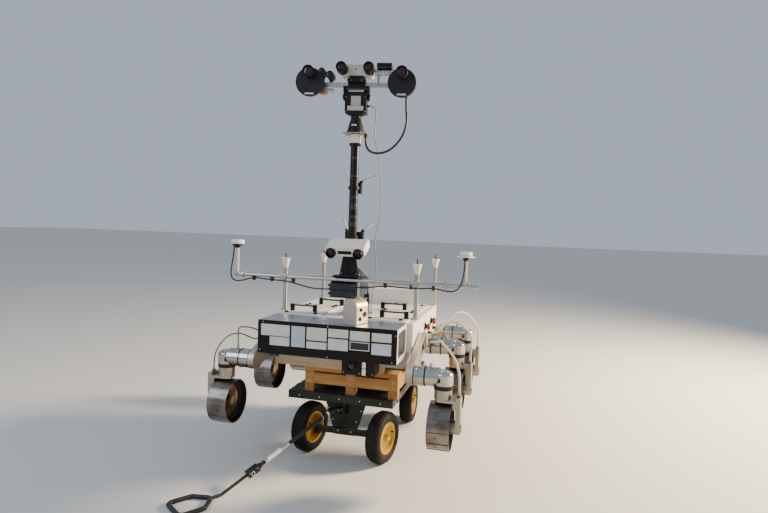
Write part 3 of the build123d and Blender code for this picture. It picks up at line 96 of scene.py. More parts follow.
def mix_colour(tree, share, first, second, blend="MIX"):
    """Mixes two colours by a share from 0 to 1."""
    made = node(tree, "Mix", {0: share, 6: first, 7: second}, data_type="RGBA", blend_type=blend)
    return made.outputs[2]


def mix_value(tree, share, first, second):
    """Mixes two values by a share from 0 to 1."""
    return node(tree, "Mix", {0: share, 2: first, 3: second}, data_type="FLOAT").outputs[0]


def spread(tree, value, low, high, to_low=0.0, to_high=1.0):
    """Stretches a value from one range to another, and cuts it off there."""
    ranges = {"Value": value, "From Min": low, "From Max": high, "To Min": to_low, "To Max": to_high}
    return node(tree, "MapRange", ranges).outputs[0]


def combine(tree, operation, first, second):
    """A sum, product or the like of two values, kept between 0 and 1."""
    return node(tree, "Math", {0: first, 1: second}, operation=operation, use_clamp=True).outputs[0]


def surface(tree):
    """The place of each point of the surface, in the frame."""
    return node(tree, "TexCoord").outputs["Object"]


def noise(tree, where, scale, detail, roughness=0.5):
    """Random patches of a given fineness, as a value."""
    look = {"Vector": where, "Scale": scale, "Detail": detail, "Roughness": roughness}
    return node(tree, "TexNoise", look).outputs[0]


def feed(tree, target, **values):
    """Leads values into a node: Base_Color goes to its input "Base Color"."""
    for key, value in values.items():
        tree.links.new(value, target.inputs[key.replace("_", " ")])


def new_material(name):
    """A material with one Principled shader, and its tree."""
    material = bpy.data.materials.new(name)
    material.use_nodes = True
    return material, material.node_tree, material.node_tree.nodes["Principled BSDF"]


def link_mesh(name, vertices, faces, sharp_above=35):
    """An object made of vertices and faces, smooth but for edges that turn by more than an angle."""
    mesh = bpy.data.meshes.new(name)
    mesh.from_pydata(vertices, [], faces)
    form = bmesh.new()
    form.from_mesh(mesh)
    bmesh.ops.recalc_face_normals(form, faces=form.faces)
    form.to_mesh(mesh)
    form.free()
    mesh.polygons.foreach_set("use_smooth", [True] * len(faces))
    mesh.set_sharp_from_angle(angle=radians(sharp_above))
    made = bpy.data.objects.new(name, mesh)
    bpy.context.scene.collection.objects.link(made)
    return made


floor_material, tree, shader = new_material("studio_floor")
grain = noise(tree, surface(tree), 60.0, 4.0)
floor_tone = mix_colour(tree, grain, (0.66, 0.64, 0.60, 1), (0.74, 0.72, 0.68, 1))
feed(tree, shader, Base_Color=floor_tone)
shader.inputs["Roughness"].default_value = 0.85
FLOOR_HALF = 60.0
corners = [(x * FLOOR_HALF, y * FLOOR_HALF, 0) for x, y in ((-1, -1), (1, -1), (1, 1), (-1, 1))]
floor = link_mesh("studio_floor", corners, [(0, 1, 2, 3)])
floor.data.materials.append(floor_material)

world = bpy.data.worlds.new("studio_sky")
world.use_nodes = True
sky = world.node_tree.nodes["Background"]
sky.inputs["Color"].default_value = (0.72, 0.82, 0.96, 1)
sky.inputs["Strength"].default_value = 0.6
bpy.context.scene.world = world


def soft_lamp(name, place, aim, size, power, colour):
    """A round soft lamp that looks at a point."""
    data = bpy.data.lights.new(name, "AREA")
    data.shape = "DISK"
    data.size = size
    data.energy = power
    data.color = colour
    lamp = bpy.data.objects.new(name, data)
    lamp.location = place
    lamp.rotation_euler = (Vector(aim) - Vector(place)).to_track_quat("-Z", "Y").to_euler()
    bpy.context.scene.collection.objects.link(lamp)


soft_lamp("low_sun", (5.2, 2.4, 3.0), (0, 0, 0.9), 1.3, 1250, (1.0, 0.80, 0.56))
soft_lamp("front_fill", (-3.2, -4.2, 3.6), (0, 0, 1.0), 4.0, 120, (0.86, 0.92, 1.0))

# Hoses and cables: flexible sleeves with a few wires each, pushed into glands at both ends.
# The hoses are pale beige and ribbed, the cables on the other side and on the bar thin and dark, and
# the one that hangs from the head is as thick as a thumb.
HOSE_DIAMETER = 0.013
CABLE_DIAMETER = 0.008
HEAD_CABLE_DIAMETER = 0.013
WIRE_DIAMETER = 0.006
hose_front_left = (
    (0.470, 0.480, 0.700), (0.512, 0.480, 0.700), (0.540, 0.425, 0.724), (0.556, 0.347, 0.733),
    (0.588, 0.268, 0.727), (0.628, 0.198, 0.712), (0.664, 0.142, 0.680), (0.690, 0.100, 0.622),
    (0.693, 0.087, 0.574), (0.693, 0.087, 0.530),
)
hose_middle_left = (
    (0.440, 0.715, 0.712), (0.478, 0.715, 0.712), (0.516, 0.700, 0.764), (0.568, 0.676, 0.800),
    (0.628, 0.652, 0.790), (0.677, 0.640, 0.752), (0.704, 0.633, 0.698), (0.693, 0.630, 0.630),
    (0.693, 0.630, 0.578),
)
hose_rear_left = (
    (0.440, 0.900, 0.712), (0.478, 0.900, 0.712), (0.516, 0.920, 0.768), (0.566, 0.958, 0.818),
    (0.616, 1.010, 0.810), (0.655, 1.072, 0.764), (0.688, 1.132, 0.698), (0.698, 1.166, 0.646),
    (0.693, 1.174, 0.602), (0.693, 1.174, 0.560),
)
cable_front_right = (
    (-0.470, 0.300, 0.688), (-0.498, 0.300, 0.688), (-0.526, 0.268, 0.672), (-0.547, 0.226, 0.692),
    (-0.583, 0.182, 0.722), (-0.630, 0.148, 0.716), (-0.664, 0.120, 0.680), (-0.688, 0.098, 0.626),
    (-0.693, 0.087, 0.576), (-0.693, 0.087, 0.530),
)
drive_cable = (
    (-0.470, 0.330, 0.698), (-0.498, 0.330, 0.698), (-0.532, 0.300, 0.722), (-0.560, 0.256, 0.744),
    (-0.584, 0.206, 0.753), (-0.578, 0.152, 0.757), (-0.556, 0.106, 0.744), (-0.545, 0.087, 0.706),
    (-0.545, 0.087, 0.672),
)
bar_cable_right = (
    (-0.722, 0.340, 1.216), (-0.723, 0.338, 1.190), (-0.728, 0.337, 1.140), (-0.736, 0.336, 1.094),
    (-0.740, 0.335, 1.056), (-0.736, 0.334, 1.026), (-0.718, 0.334, 1.007), (-0.690, 0.336, 1.004),
    (-0.656, 0.342, 1.010), (-0.626, 0.348, 1.020), (-0.590, 0.350, 1.029), (-0.540, 0.349, 1.025),
    (-0.482, 0.351, 1.021), (-0.424, 0.350, 1.020), (-0.368, 0.352, 1.016), (-0.312, 0.354, 1.004),
    (-0.256, 0.358, 0.990), (-0.200, 0.363, 0.982), (-0.150, 0.366, 0.984), (-0.106, 0.366, 0.984),
)
bar_cable_left = (
    (0.052, 0.366, 1.004), (0.092, 0.366, 1.004), (0.138, 0.359, 1.010), (0.192, 0.351, 1.020),
    (0.250, 0.352, 1.023), (0.308, 0.349, 1.020), (0.366, 0.351, 1.019), (0.424, 0.350, 1.021),
    (0.476, 0.351, 1.026), (0.518, 0.349, 1.025), (0.560, 0.345, 1.017), (0.598, 0.339, 1.014),
    (0.632, 0.332, 1.026), (0.653, 0.328, 1.056), (0.664, 0.327, 1.096), (0.668, 0.329, 1.146),
    (0.669, 0.331, 1.180), (0.669, 0.331, 1.202),
)
head_cable = (
    (0.2835, 0.4549, 2.100), (0.2835, 0.4549, 2.042), (0.294, 0.449, 1.966), (0.280, 0.438, 1.893),
    (0.246, 0.425, 1.834), (0.200, 0.413, 1.792), (0.152, 0.405, 1.777), (0.106, 0.402, 1.780),
    (0.075, 0.405, 1.802), (0.062, 0.410, 1.836), (0.062, 0.410, 1.868),
)
head_wire = (
    (0.0725, 0.4316, 2.052), (0.0982, 0.4357, 2.052), (0.112, 0.439, 2.024), (0.111, 0.437, 1.966),
    (0.107, 0.434, 1.890), (0.123, 0.432, 1.810), (0.144, 0.431, 1.730), (0.154, 0.430, 1.648),
    (0.160, 0.431, 1.564), (0.163, 0.430, 1.480), (0.154, 0.431, 1.400), (0.137, 0.430, 1.322),
    (0.131, 0.433, 1.244), (0.142, 0.437, 1.170), (0.141, 0.440, 1.092), (0.131, 0.445, 1.012),
    (0.120, 0.452, 0.940), (0.116, 0.456, 0.878), (0.116, 0.456, 0.834),
)


def smooth_line(name, route):
    """The points of the smooth spline that a route gives, in the frame."""
    line = bpy.data.curves.new(name, "CURVE")
    line.dimensions = "3D"
    line.resolution_u = 24
    spline = line.splines.new("NURBS")
    spline.points.add(len(route) - 1)
    for point, place in zip(spline.points, route):
        point.co = (*from_zero(*place), 1)
    spline.order_u = 3
    spline.use_endpoint_u = True
    carrier = bpy.data.objects.new(name, line)
    bpy.context.scene.collection.objects.link(carrier)
    bpy.context.view_layer.update()
    bare = bpy.data.meshes.new_from_object(carrier)
    path = [vertex.co.copy() for vertex in bare.vertices]
    bpy.data.objects.remove(carrier)
    bpy.data.meshes.remove(bare)
    return path


def evenly(path, step):
    """Walks a path in equal steps, and gives the places with their distances."""
    marks = [0.0]
    for before, after in zip(path, path[1:]):
        marks.append(marks[-1] + (after - before).length)
    count = max(2, round(marks[-1] / step))
    places, leg = [], 0
    for index in range(count + 1):
        reach = marks[-1] * index / count
        while leg < len(path) - 2 and marks[leg + 1] < reach:
            leg += 1
        share = (reach - marks[leg]) / (marks[leg + 1] - marks[leg])
        places.append((path[leg].lerp(path[leg + 1], min(1, share)), reach))
    return places, marks[-1]


def tube(name, path, radius_at, step, sides):
    """A closed tube along a path, whose radius may change with the distance."""
    places, length = evenly(path, step)
    spots = [place for place, reach in places]
    heading = (spots[1] - spots[0]).normalized()
    across = heading.orthogonal().normalized()
    vertices, faces = [], []
    for index, (place, reach) in enumerate(places):
        following = spots[min(index + 1, len(spots) - 1)] - spots[max(index - 1, 0)]
        new_heading = following.normalized()
        across = (heading.rotation_difference(new_heading) @ across).normalized()
        heading = new_heading
        up = heading.cross(across)
        for side in range(sides):
            angle = 2 * pi * side / sides
            vertices.append(place + radius_at(reach) * (across * cos(angle) + up * sin(angle)))
    for ring in range(len(places) - 1):
        for side in range(sides):
            first, second = ring * sides + side, ring * sides + (side + 1) % sides
            faces.append((first, second, second + sides, first + sides))
    faces.append(tuple(reversed(range(sides))))
    faces.append(tuple(range((len(places) - 1) * sides, len(places) * sides)))
    return link_mesh(name, vertices, faces, 60), length


RIB_PITCH = 0.0042
RIB_DEPTH = 0.0005


def ribbed(reach):
    """The radius of a ribbed hose at a distance along it."""
    return HOSE_DIAMETER / 2 - RIB_DEPTH * (0.5 - 0.5 * cos(2 * pi * reach / RIB_PITCH))


def effect(name, inputs, outputs):
    """A shared effect: its node group, what the group is given, and the node that takes its results."""
    group = bpy.data.node_groups.new(name, "ShaderNodeTree")
    for in_out, sockets in (("INPUT", inputs), ("OUTPUT", outputs)):
        for socket, kind in sockets.items():
            group.interface.new_socket(socket, in_out=in_out, socket_type="NodeSocket" + kind)
    return group, group.nodes.new("NodeGroupInput").outputs, group.nodes.new("NodeGroupOutput")


# Dust that settles on what faces up, in patches: the share of dust, from the surface's own direction.
dust_group, given, results = effect(
    "settled_dust", {"Amount": "Float", "Patch Scale": "Float"}, {"Share": "Float"}
)
where = node(dust_group, "TexCoord")
upward = node(dust_group, "SeparateXYZ", {0: where.outputs["Normal"]}).outputs["Z"]
patches = noise(dust_group, where.outputs["Object"], given["Patch Scale"], 6.0, 0.65)
specks = noise(dust_group, where.outputs["Object"], 420.0, 2.0)
upper = spread(dust_group, upward, -0.6, 1.0, 0.06, 1.0)
grit = spread(dust_group, specks, 0.3, 0.7, 0.75, 1.2)
cloud = spread(dust_group, combine(dust_group, "MULTIPLY", patches, grit), 0.30, 0.74)
share = combine(dust_group, "MULTIPLY", upper, cloud)
feed(dust_group, results, Share=combine(dust_group, "MULTIPLY", share, given["Amount"]))

DUST = (0.50, 0.42, 0.31, 1)


def dusted(tree, colour, roughness, amount, patch_scale=9.0):
    """Lays dust over a colour and a roughness, and gives both back with the share of dust."""
    dust = node(tree, "Group", {"Amount": amount, "Patch Scale": patch_scale}, node_tree=dust_group)
    share = dust.outputs["Share"]
    return mix_colour(tree, share, colour, DUST), mix_value(tree, share, roughness, 0.9), share


def relief(tree, shader, height, strength, distance, **normal):
    """Gives a surface fine relief from a height, on top of a Normal if one is given."""
    look = {"Height": height, "Strength": strength, "Distance": distance, **normal}
    feed(tree, shader, Normal=node(tree, "Bump", look).outputs[0])


def sleeve(name, colour, worn, roughness, dust):
    """Soft plastic of a hose or cable: a slightly uneven colour, scuffs and some dust."""
    material, tree, shader = new_material(name)
    where = surface(tree)
    tone, scuff = noise(tree, where, 22.0, 5.0), noise(tree, where, 260.0, 3.0, 0.7)
    body = mix_colour(tree, spread(tree, tone, 0.35, 0.65), colour, worn)
    rough = spread(tree, scuff, 0.3, 0.7, roughness - 0.08, roughness + 0.12)
    body, rough, share = dusted(tree, body, rough, dust, 30.0)
    feed(tree, shader, Base_Color=body, Roughness=rough)
    shader.inputs["Specular IOR Level"].default_value = 0.35
    relief(tree, shader, scuff, 0.15, 0.0005)
    return material


hose_skin = sleeve("hose_skin", (0.74, 0.66, 0.52, 1), (0.64, 0.55, 0.41, 1), 0.42, 0.25)
grey_skin = sleeve("grey_skin", (0.16, 0.165, 0.17, 1), (0.24, 0.235, 0.23, 1), 0.38, 0.2)
cable_skin = sleeve("cable_skin", (0.006, 0.006, 0.007, 1), (0.014, 0.014, 0.014, 1), 0.36, 0.06)
wire_skin = sleeve("wire_skin", (0.30, 0.285, 0.25, 1), (0.22, 0.21, 0.185, 1), 0.4, 0.1)

CORDS = (
    # name, route, diameter, skin, node, body that its far end moves with, and the points of the route
    # where the bending starts and ends: a still one and a moving one
    ("hose_to_front_left_leg", hose_front_left, HOSE_DIAMETER, hose_skin, "hose_front_left",
     "leg_front_left", 4, -1),
    ("hose_to_middle_left_leg", hose_middle_left, HOSE_DIAMETER, hose_skin, "hose_middle_left",
     "leg_middle_left", 3, -1),
    ("hose_to_rear_left_leg", hose_rear_left, HOSE_DIAMETER, hose_skin, "hose_rear_left",
     "leg_rear_left", 4, -1),
    ("cable_to_front_right_leg", cable_front_right, CABLE_DIAMETER, grey_skin, "cable_front_right",
     "leg_front_right", 4, -1),
    ("cable_to_drive_unit", drive_cable, CABLE_DIAMETER, grey_skin, "body_cables", None, 0, 0),
    ("cable_on_bar_right", bar_cable_right, CABLE_DIAMETER, cable_skin, "body_cables", None, 0, 0),
    ("cable_on_bar_left", bar_cable_left, CABLE_DIAMETER, cable_skin, "body_cables", None, 0, 0),
    ("cable_from_head", head_cable, HEAD_CABLE_DIAMETER, cable_skin, "head_cables", "pan", -1, 0),
    ("wire_from_head", head_wire, WIRE_DIAMETER, wire_skin, "head_cables", "pan", 5, 0),
)
CORD_SIDES = 18
for name, route, diameter, skin, replaced, moving_body, still, moving in CORDS:
    is_hose = skin is hose_skin
    path = smooth_line(name, route)
    profile = ribbed if is_hose else (lambda reach, radius=diameter / 2: radius)
    piece, length = tube(name, path, profile, RIB_PITCH / 4 if is_hose else diameter * 0.7, CORD_SIDES)
    piece.data.materials.append(skin)
    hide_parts(replaced)
    if moving_body:
        start, end = from_zero(*route[still]), from_zero(*route[moving])
        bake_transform(piece)
    else:
        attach(piece, "root")

# Hull: a deep box folded from aluminium sheet with a warm white powder coat, open only at its glands.
# Its rear corners and its flanges are riveted, and the left side carries the control plate.
wear_group, given, results = effect(
    "worn_edges", {"Radius": "Float", "Amount": "Float"}, {"Share": "Float", "Normal": "Vector"}
)
round_edge = node(wear_group, "Bevel", {"Radius": given["Radius"]}, samples=4).outputs[0]
face = node(wear_group, "NewGeometry").outputs["Normal"]
lean = node(wear_group, "VectorMath", {0: round_edge, 1: face}, operation="DOT_PRODUCT").outputs["Value"]
edge = spread(wear_group, lean, 0.995, 0.80)
chips = noise(wear_group, surface(wear_group), 48.0, 8.0, 0.7)
chipped = spread(wear_group, combine(wear_group, "MULTIPLY", edge, chips), 0.38, 0.50)
chipped = combine(wear_group, "MULTIPLY", chipped, given["Amount"])
feed(wear_group, results, Share=chipped, Normal=round_edge)

tone_group, given, results = effect(
    "uneven_coat", {"Colour": "Color", "Stain": "Color", "Amount": "Float"},
    {"Colour": "Color", "Smear": "Float", "Height": "Float"},
)
where = surface(tone_group)
broad = noise(tone_group, where, 4.5, 6.0, 0.6)
long_way = node(tone_group, "Mapping", {"Vector": where, "Scale": (30.0, 30.0, 2.5)}).outputs[0]
runs = noise(tone_group, long_way, 1.0, 5.0, 0.6)
fine = noise(tone_group, where, 900.0, 2.0)
smear = spread(tone_group, combine(tone_group, "MULTIPLY", broad, runs), 0.16, 0.42)
stain = combine(tone_group, "MULTIPLY", smear, given["Amount"])
stained = mix_colour(tone_group, stain, given["Colour"], given["Stain"])
feed(tone_group, results, Colour=stained, Smear=smear, Height=fine)


def coat(
    name, colour, stain, roughness, bare=(0.42, 0.41, 0.40, 1), wear=0.6, dust=0.3, edge=0.0012, gloss=0.0,
    stained=0.5, bare_metal=0.8, zones=(), shine=0.5,
):
    """A powder coat over metal: uneven colour, chipped edges down to the metal, dust, and orange peel.

    Each zone is (axis, from, to, colour, stain): between two places along an axis the coat differs."""
    material, tree, shader = new_material(name)
    split = node(tree, "SeparateXYZ", {0: surface(tree)}).outputs
    for axis, start, end, zone_colour, zone_stain in zones:
        after = node(tree, "Math", {0: split[axis], 1: start}, operation="GREATER_THAN").outputs[0]
        before = node(tree, "Math", {0: split[axis], 1: end}, operation="LESS_THAN").outputs[0]
        inside = combine(tree, "MULTIPLY", after, before)
        colour = mix_colour(tree, inside, colour, zone_colour)
        stain = mix_colour(tree, inside, stain, zone_stain)
    tone = node(tree, "Group", {"Colour": colour, "Stain": stain, "Amount": stained}, node_tree=tone_group)
    worn = node(tree, "Group", {"Radius": edge, "Amount": wear}, node_tree=wear_group)
    painted = mix_colour(tree, worn.outputs["Share"], tone.outputs["Colour"], bare)
    rough = spread(tree, tone.outputs["Smear"], 0.0, 1.0, roughness, min(1.0, roughness + 0.18))
    painted, rough, share = dusted(tree, painted, rough, dust)
    shown = combine(tree, "MULTIPLY", worn.outputs["Share"], bare_metal)
    feed(tree, shader, Base_Color=painted, Roughness=rough, Metallic=shown)
    shader.inputs["Specular IOR Level"].default_value = shine
    shader.inputs["Coat Weight"].default_value = gloss
    shader.inputs["Coat Roughness"].default_value = 0.12
    relief(tree, shader, tone.outputs["Height"], 0.12, 0.0004, Normal=worn.outputs["Normal"])
    return material


def finish(material, slot, *names):
    """Gives CAD nodes their material."""
    for name in names:
        target = node_of[name]
        target.data.materials.clear()
        target.data.materials.append(material)


def turned(profile, sides=24):
    """A surface turned about Z from (radius, height) pairs; a radius of zero closes it."""
    vertices, faces, rings = [], [], []
    for radius, height in profile:
        if radius == 0:
            rings.append([len(vertices)] * sides)
            vertices.append(Vector((0, 0, height)))
            continue
        rings.append(list(range(len(vertices), len(vertices) + sides)))
        for side in range(sides):
            angle = 2 * pi * side / sides
            vertices.append(Vector((radius * cos(angle), radius * sin(angle), height)))
    for lower, upper in zip(rings, rings[1:]):
        for side in range(sides):
            after = (side + 1) % sides
            corners = (lower[side], lower[after], upper[after], upper[side])
            faces.append(tuple(dict.fromkeys(corners)))
    return vertices, faces


def prism(outline, thick, bevel=0.0):
    """A plate of a given outline, from z = 0 up, its top edge broken by a bevel."""
    middle = sum((Vector((x, y, 0)) for x, y in outline), Vector()) / len(outline)
    levels = [(0, 0.0), (thick - bevel, 0.0)] + ([(thick, bevel)] if bevel else [])
    vertices, faces, count = [], [], len(outline)
    for height, inset in levels:
        for x, y in outline:
            edge = Vector((x, y, 0))
            pull = middle - edge
            shift = [min(inset, abs(way)) * (1 if way > 0 else -1) for way in (pull.x, pull.y)]
            vertices.append(edge + Vector((*shift, height)))
    for level in range(len(levels) - 1):
        for side in range(count):
            first, second = level * count + side, level * count + (side + 1) % count
            faces.append((first, second, second + count, first + count))
    faces.append(tuple(reversed(range(count))))
    faces.append(tuple(range((len(levels) - 1) * count, len(levels) * count)))
    return vertices, faces


def sheet(half_x, half_y, thick, bevel):
    """A rectangular plate about its middle."""
    outline = [(-half_x, -half_y), (half_x, -half_y), (half_x, half_y), (-half_x, half_y)]
    return prism(outline, thick, bevel)


def band(inner, outer, start, stop, soft=0.001, sides=28):
    """A ring about Z between two heights, its edges turned in to an inner radius."""
    return turned([(inner, start), (outer, start + soft), (outer, stop - soft), (inner, stop)], sides)


def brick(x, y, z, bevel=0.0008):
    """A block between pairs of limits, with every edge broken."""
    vertices, faces = [], []
    centre = Vector([(low + high) / 2 for low, high in (x, y, z)])
    half = Vector([(high - low) / 2 for low, high in (x, y, z)])
    for corner in range(8):
        sign = [1 if corner >> axis & 1 else -1 for axis in range(3)]
        for flat in range(3):
            spot = [sign[axis] * (half[axis] - (0 if axis == flat else bevel)) for axis in range(3)]
            vertices.append(centre + Vector(spot))
    for flat in range(3):
        first, second = [axis for axis in range(3) if axis != flat]
        for side in (0, 1):
            ring = [side << flat | a << first | b << second for a, b in ((0, 0), (1, 0), (1, 1), (0, 1))]
            faces.append([3 * corner + flat for corner in ring])
    for axis in range(3):
        first, second = [other for other in range(3) if other != axis]
        for a, b in ((0, 0), (1, 0), (1, 1), (0, 1)):
            low = a << first | b << second
            high = low | 1 << axis
            faces.append([3 * low + first, 3 * high + first, 3 * high + second, 3 * low + second])
    faces += [[3 * corner, 3 * corner + 1, 3 * corner + 2] for corner in range(8)]
    return vertices, faces


def facing(place, direction=(0, 0, 1), spin=0.0):
    """A frame at a place whose Z looks along a direction."""
    turned_to = Vector(direction).to_track_quat("Z", "Y").to_matrix().to_4x4()
    return Matrix.Translation(place) @ turned_to @ Matrix.Rotation(spin, 4, "Z")


def at(x, y, z, direction=(0, 0, 1), spin=0.0):
    """A frame at a place measured from the zero point, whose Z looks along a direction."""
    return facing(from_zero(x, y, z), direction, spin)


HERE = Matrix.Translation(zero)


def spaced(start, stop, count):
    """Evenly spaced places, the first and the last one given."""
    return [start + (stop - start) * step / (count - 1) for step in range(count)]


def rows(shape, xs, ys, zs, direction=(0, 0, 1), tint=0, base=HERE):
    """The same small part at each crossing of three rows of places."""
    return [(shape, base @ facing((x, y, z), direction), tint) for x in xs for y in ys for z in zs]


def assemble(name, shapes, materials, body="root", replaced=(), sharp_above=35):
    """Joins placed shapes, (shape, frame) or (shape, frame, material number), into one piece."""
    vertices, faces, tints = [], [], []
    for (corners, sides), where, *tint in shapes:
        start = len(vertices)
        vertices += [where @ corner for corner in corners]
        flipped = where.to_3x3().determinant() < 0
        faces += [[start + corner for corner in (reversed(side) if flipped else side)] for side in sides]
        tints += [tint[0] if tint else 0] * len(sides)
    made = link_mesh(name, vertices, faces, sharp_above)
    for material in materials:
        made.data.materials.append(material)
    made.data.polygons.foreach_set("material_index", tints)
    for old in replaced:
        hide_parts(old)
    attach(made, body)
    return made


WHITE, WHITE_STAIN = (0.83, 0.80, 0.74, 1), (0.60, 0.53, 0.43, 1)
white_coat = coat("white_coat", WHITE, WHITE_STAIN, 0.36, stained=0.35, dust=0.22)
finish(white_coat, "white_shell", "hull_box")
zinc, tree, shader = new_material("zinc_screws")
spots = noise(tree, surface(tree), 700.0, 3.0)
zinc_tone = mix_colour(tree, spots, (0.62, 0.60, 0.56, 1), (0.44, 0.41, 0.36, 1))
feed(tree, shader, Base_Color=zinc_tone, Roughness=spread(tree, spots, 0.3, 0.7, 0.28, 0.5))
shader.inputs["Metallic"].default_value = 1.0


def rivet(radius):
    """A domed rivet head."""
    dome = ((1.0, 0), (0.92, 0.28), (0.6, 0.5), (0, 0.58))
    return turned([(radius * out, radius * up) for out, up in dome], 10)


def screw(radius):
    """A pan-head screw with a socket in its head."""
    rim, top = radius * 0.45, radius * 0.62
    profile = [(radius, 0), (radius, radius * 0.35), (radius * 0.8, top), (rim, top), (rim, radius * 0.2)]
    return turned(profile + [(0, radius * 0.2)], 12)


HULL_SIDE, HULL_FRONT, HULL_REAR, HULL_BOTTOM, DECK = 0.416, 0.232, 1.037, 0.682, 0.842
rivet_ys, rivet_zs = spaced(HULL_FRONT + 0.03, HULL_REAR - 0.03, 14), (HULL_BOTTOM + 0.008, DECK - 0.008)
rivets = rows(rivet(0.0026), spaced(-0.392, 0.392, 15), [HULL_REAR], rivet_zs, (0, 1, 0))
rivets += rows(screw(0.0032), (-0.399, 0.399), [HULL_FRONT], (0.70, 0.735, 0.79, 0.825), (0, -1, 0))
for side in (-1, 1):
    rivets += rows(rivet(0.0026), [side * HULL_SIDE], rivet_ys, rivet_zs, (side, 0, 0))
    rivets += rows(rivet(0.0022), [side * (HULL_SIDE - 0.006)], rivet_ys, [DECK])
assemble("hull_rivets", rivets, [zinc])

# Belly tub: the deeper tray under the hull, bare sheet gone dull, that stands on the timbers.
base_coat = coat("base_coat", (0.44, 0.42, 0.38, 1), (0.28, 0.24, 0.19, 1), 0.5, dust=0.5, stained=0.6)
finish(base_coat, "hull_base", "belly_tub")
TUB_SIDE, TUB_FRONT, TUB_REAR, TUB_FLANGE = 0.380, 0.250, 1.000, 0.668
tub_screw, side_ys, heads = screw(0.0034), spaced(TUB_FRONT + 0.05, TUB_REAR - 0.05, 9), []
for side, face_y in ((-1, TUB_FRONT), (1, TUB_REAR)):
    heads += rows(tub_screw, [side * TUB_SIDE], side_ys, [TUB_FLANGE], (side, 0, 0))
    heads += rows(tub_screw, spaced(-0.343, 0.343, 8), [face_y], [TUB_FLANGE], (0, side, 0))
assemble("tub_screws", heads, [zinc])

# Shelf: an open-ended tray of brushed aluminium sheet in front of the hull, its end frames painted.
# Its top shows the tall parts behind it as long dull reflections. Its inside takes the frames' pale colour
# as painted light, to lift it out of its shade.
def sheet_metal(name, metal, dull, paint, limit, roughness):
    """Brushed sheet, with paint on its end frames, beyond a limit on both sides; its inside takes the same
    pale colour as painted light.
    """
    material, tree, shader = new_material(name)
    where = surface(tree)
    brushed = node(tree, "Mapping", {"Vector": where, "Scale": (6.0, 500.0, 500.0)}).outputs[0]
    marks, haze = noise(tree, brushed, 1.0, 7.0, 0.7), noise(tree, where, 7.0, 6.0, 0.62)
    along, across, height = node(tree, "SeparateXYZ", {0: where}).outputs
    far = node(tree, "Math", {0: along}, operation="ABSOLUTE").outputs[0]
    painted = node(tree, "Math", {0: far, 1: limit}, operation="GREATER_THAN").outputs[0]
    # Painted light: the space between the tray's walls, below its top, takes the pale colour, to lift the
    # inside out of its shade.
    inside = []
    for value, middle, reach in ((across, zero.y + 0.119, 0.110), (height, zero.z + 0.753, 0.086)):
        near = {0: value, 1: middle, 2: reach}
        inside.append(node(tree, "Math", near, operation="COMPARE").outputs[0])
    painted_fill_inside = combine(tree, "MULTIPLY", *inside)
    painted = node(tree, "Math", {0: painted, 1: painted_fill_inside}, operation="MAXIMUM").outputs[0]
    colour = mix_colour(tree, spread(tree, haze, 0.35, 0.7), metal, dull)
    colour = mix_colour(tree, painted, colour, paint)
    rough = spread(tree, marks, 0.25, 0.75, roughness - 0.05, roughness + 0.1)
    rough = mix_value(tree, spread(tree, haze, 0.5, 0.75, 0.0, 0.5), rough, 0.42)
    colour, rough, share = dusted(tree, colour, rough, 0.22, 6.0)
    cover = node(tree, "Math", {0: painted, 1: share}, operation="MAXIMUM").outputs[0]
    metallic = spread(tree, cover, 0.0, 1.0, 0.92, 0.0)
    feed(tree, shader, Base_Color=colour, Roughness=rough, Metallic=metallic)
    worn = node(tree, "Group", {"Radius": 0.0012, "Amount": 0.0}, node_tree=wear_group)
    relief(tree, shader, marks, 0.06, 0.0003, Normal=worn.outputs["Normal"])
    return material


shelf_sheet = sheet_metal(
    "shelf_sheet", (0.40, 0.42, 0.45, 1), (0.30, 0.30, 0.31, 1), (0.80, 0.77, 0.70, 1), 0.3815, 0.2
)
finish(shelf_sheet, "shelf_sheet", "front_shelf")
SHELF_SIDE = 0.382
heads = rows(rivet(0.003), (-0.28, -0.10, 0.10, 0.28), [0.222], [DECK])
for side in (-1, 1):
    heads += rows(screw(0.0032), [side * SHELF_SIDE], (0.014, 0.221), (0.676, 0.83), (side, 0, 0))
    heads.append((screw(0.0032), at(side * SHELF_SIDE, 0.12, 0.834, (side, 0, 0))))
assemble("shelf_screws", heads, [zinc])

# Front panel: a black coated plate screwed over the shelf's front, with thin printed plates glued on.
# The plates are left blank here; one of them is black with a pale border.
black_coat = coat(
    "black_coat", (0.0050, 0.0044, 0.0042, 1), (0.011, 0.010, 0.009, 1), 0.3, wear=0.2, dust=0.03,
    stained=0.4, shine=0.16,
)
finish(black_coat, "black_panel", "front_panel")


def printed(name, colour, edge_colour, roughness=0.35):
    """A printed plastic plate: a faint mottle, yellowed in places, with a soft gloss."""
    material, tree, shader = new_material(name)
    mottle = noise(tree, surface(tree), 18.0, 6.0)
    tone = mix_colour(tree, spread(tree, mottle, 0.4, 0.7), colour, edge_colour)
    rough = spread(tree, mottle, 0.3, 0.7, roughness, roughness + 0.15)
    feed(tree, shader, Base_Color=tone, Roughness=rough)
    return material


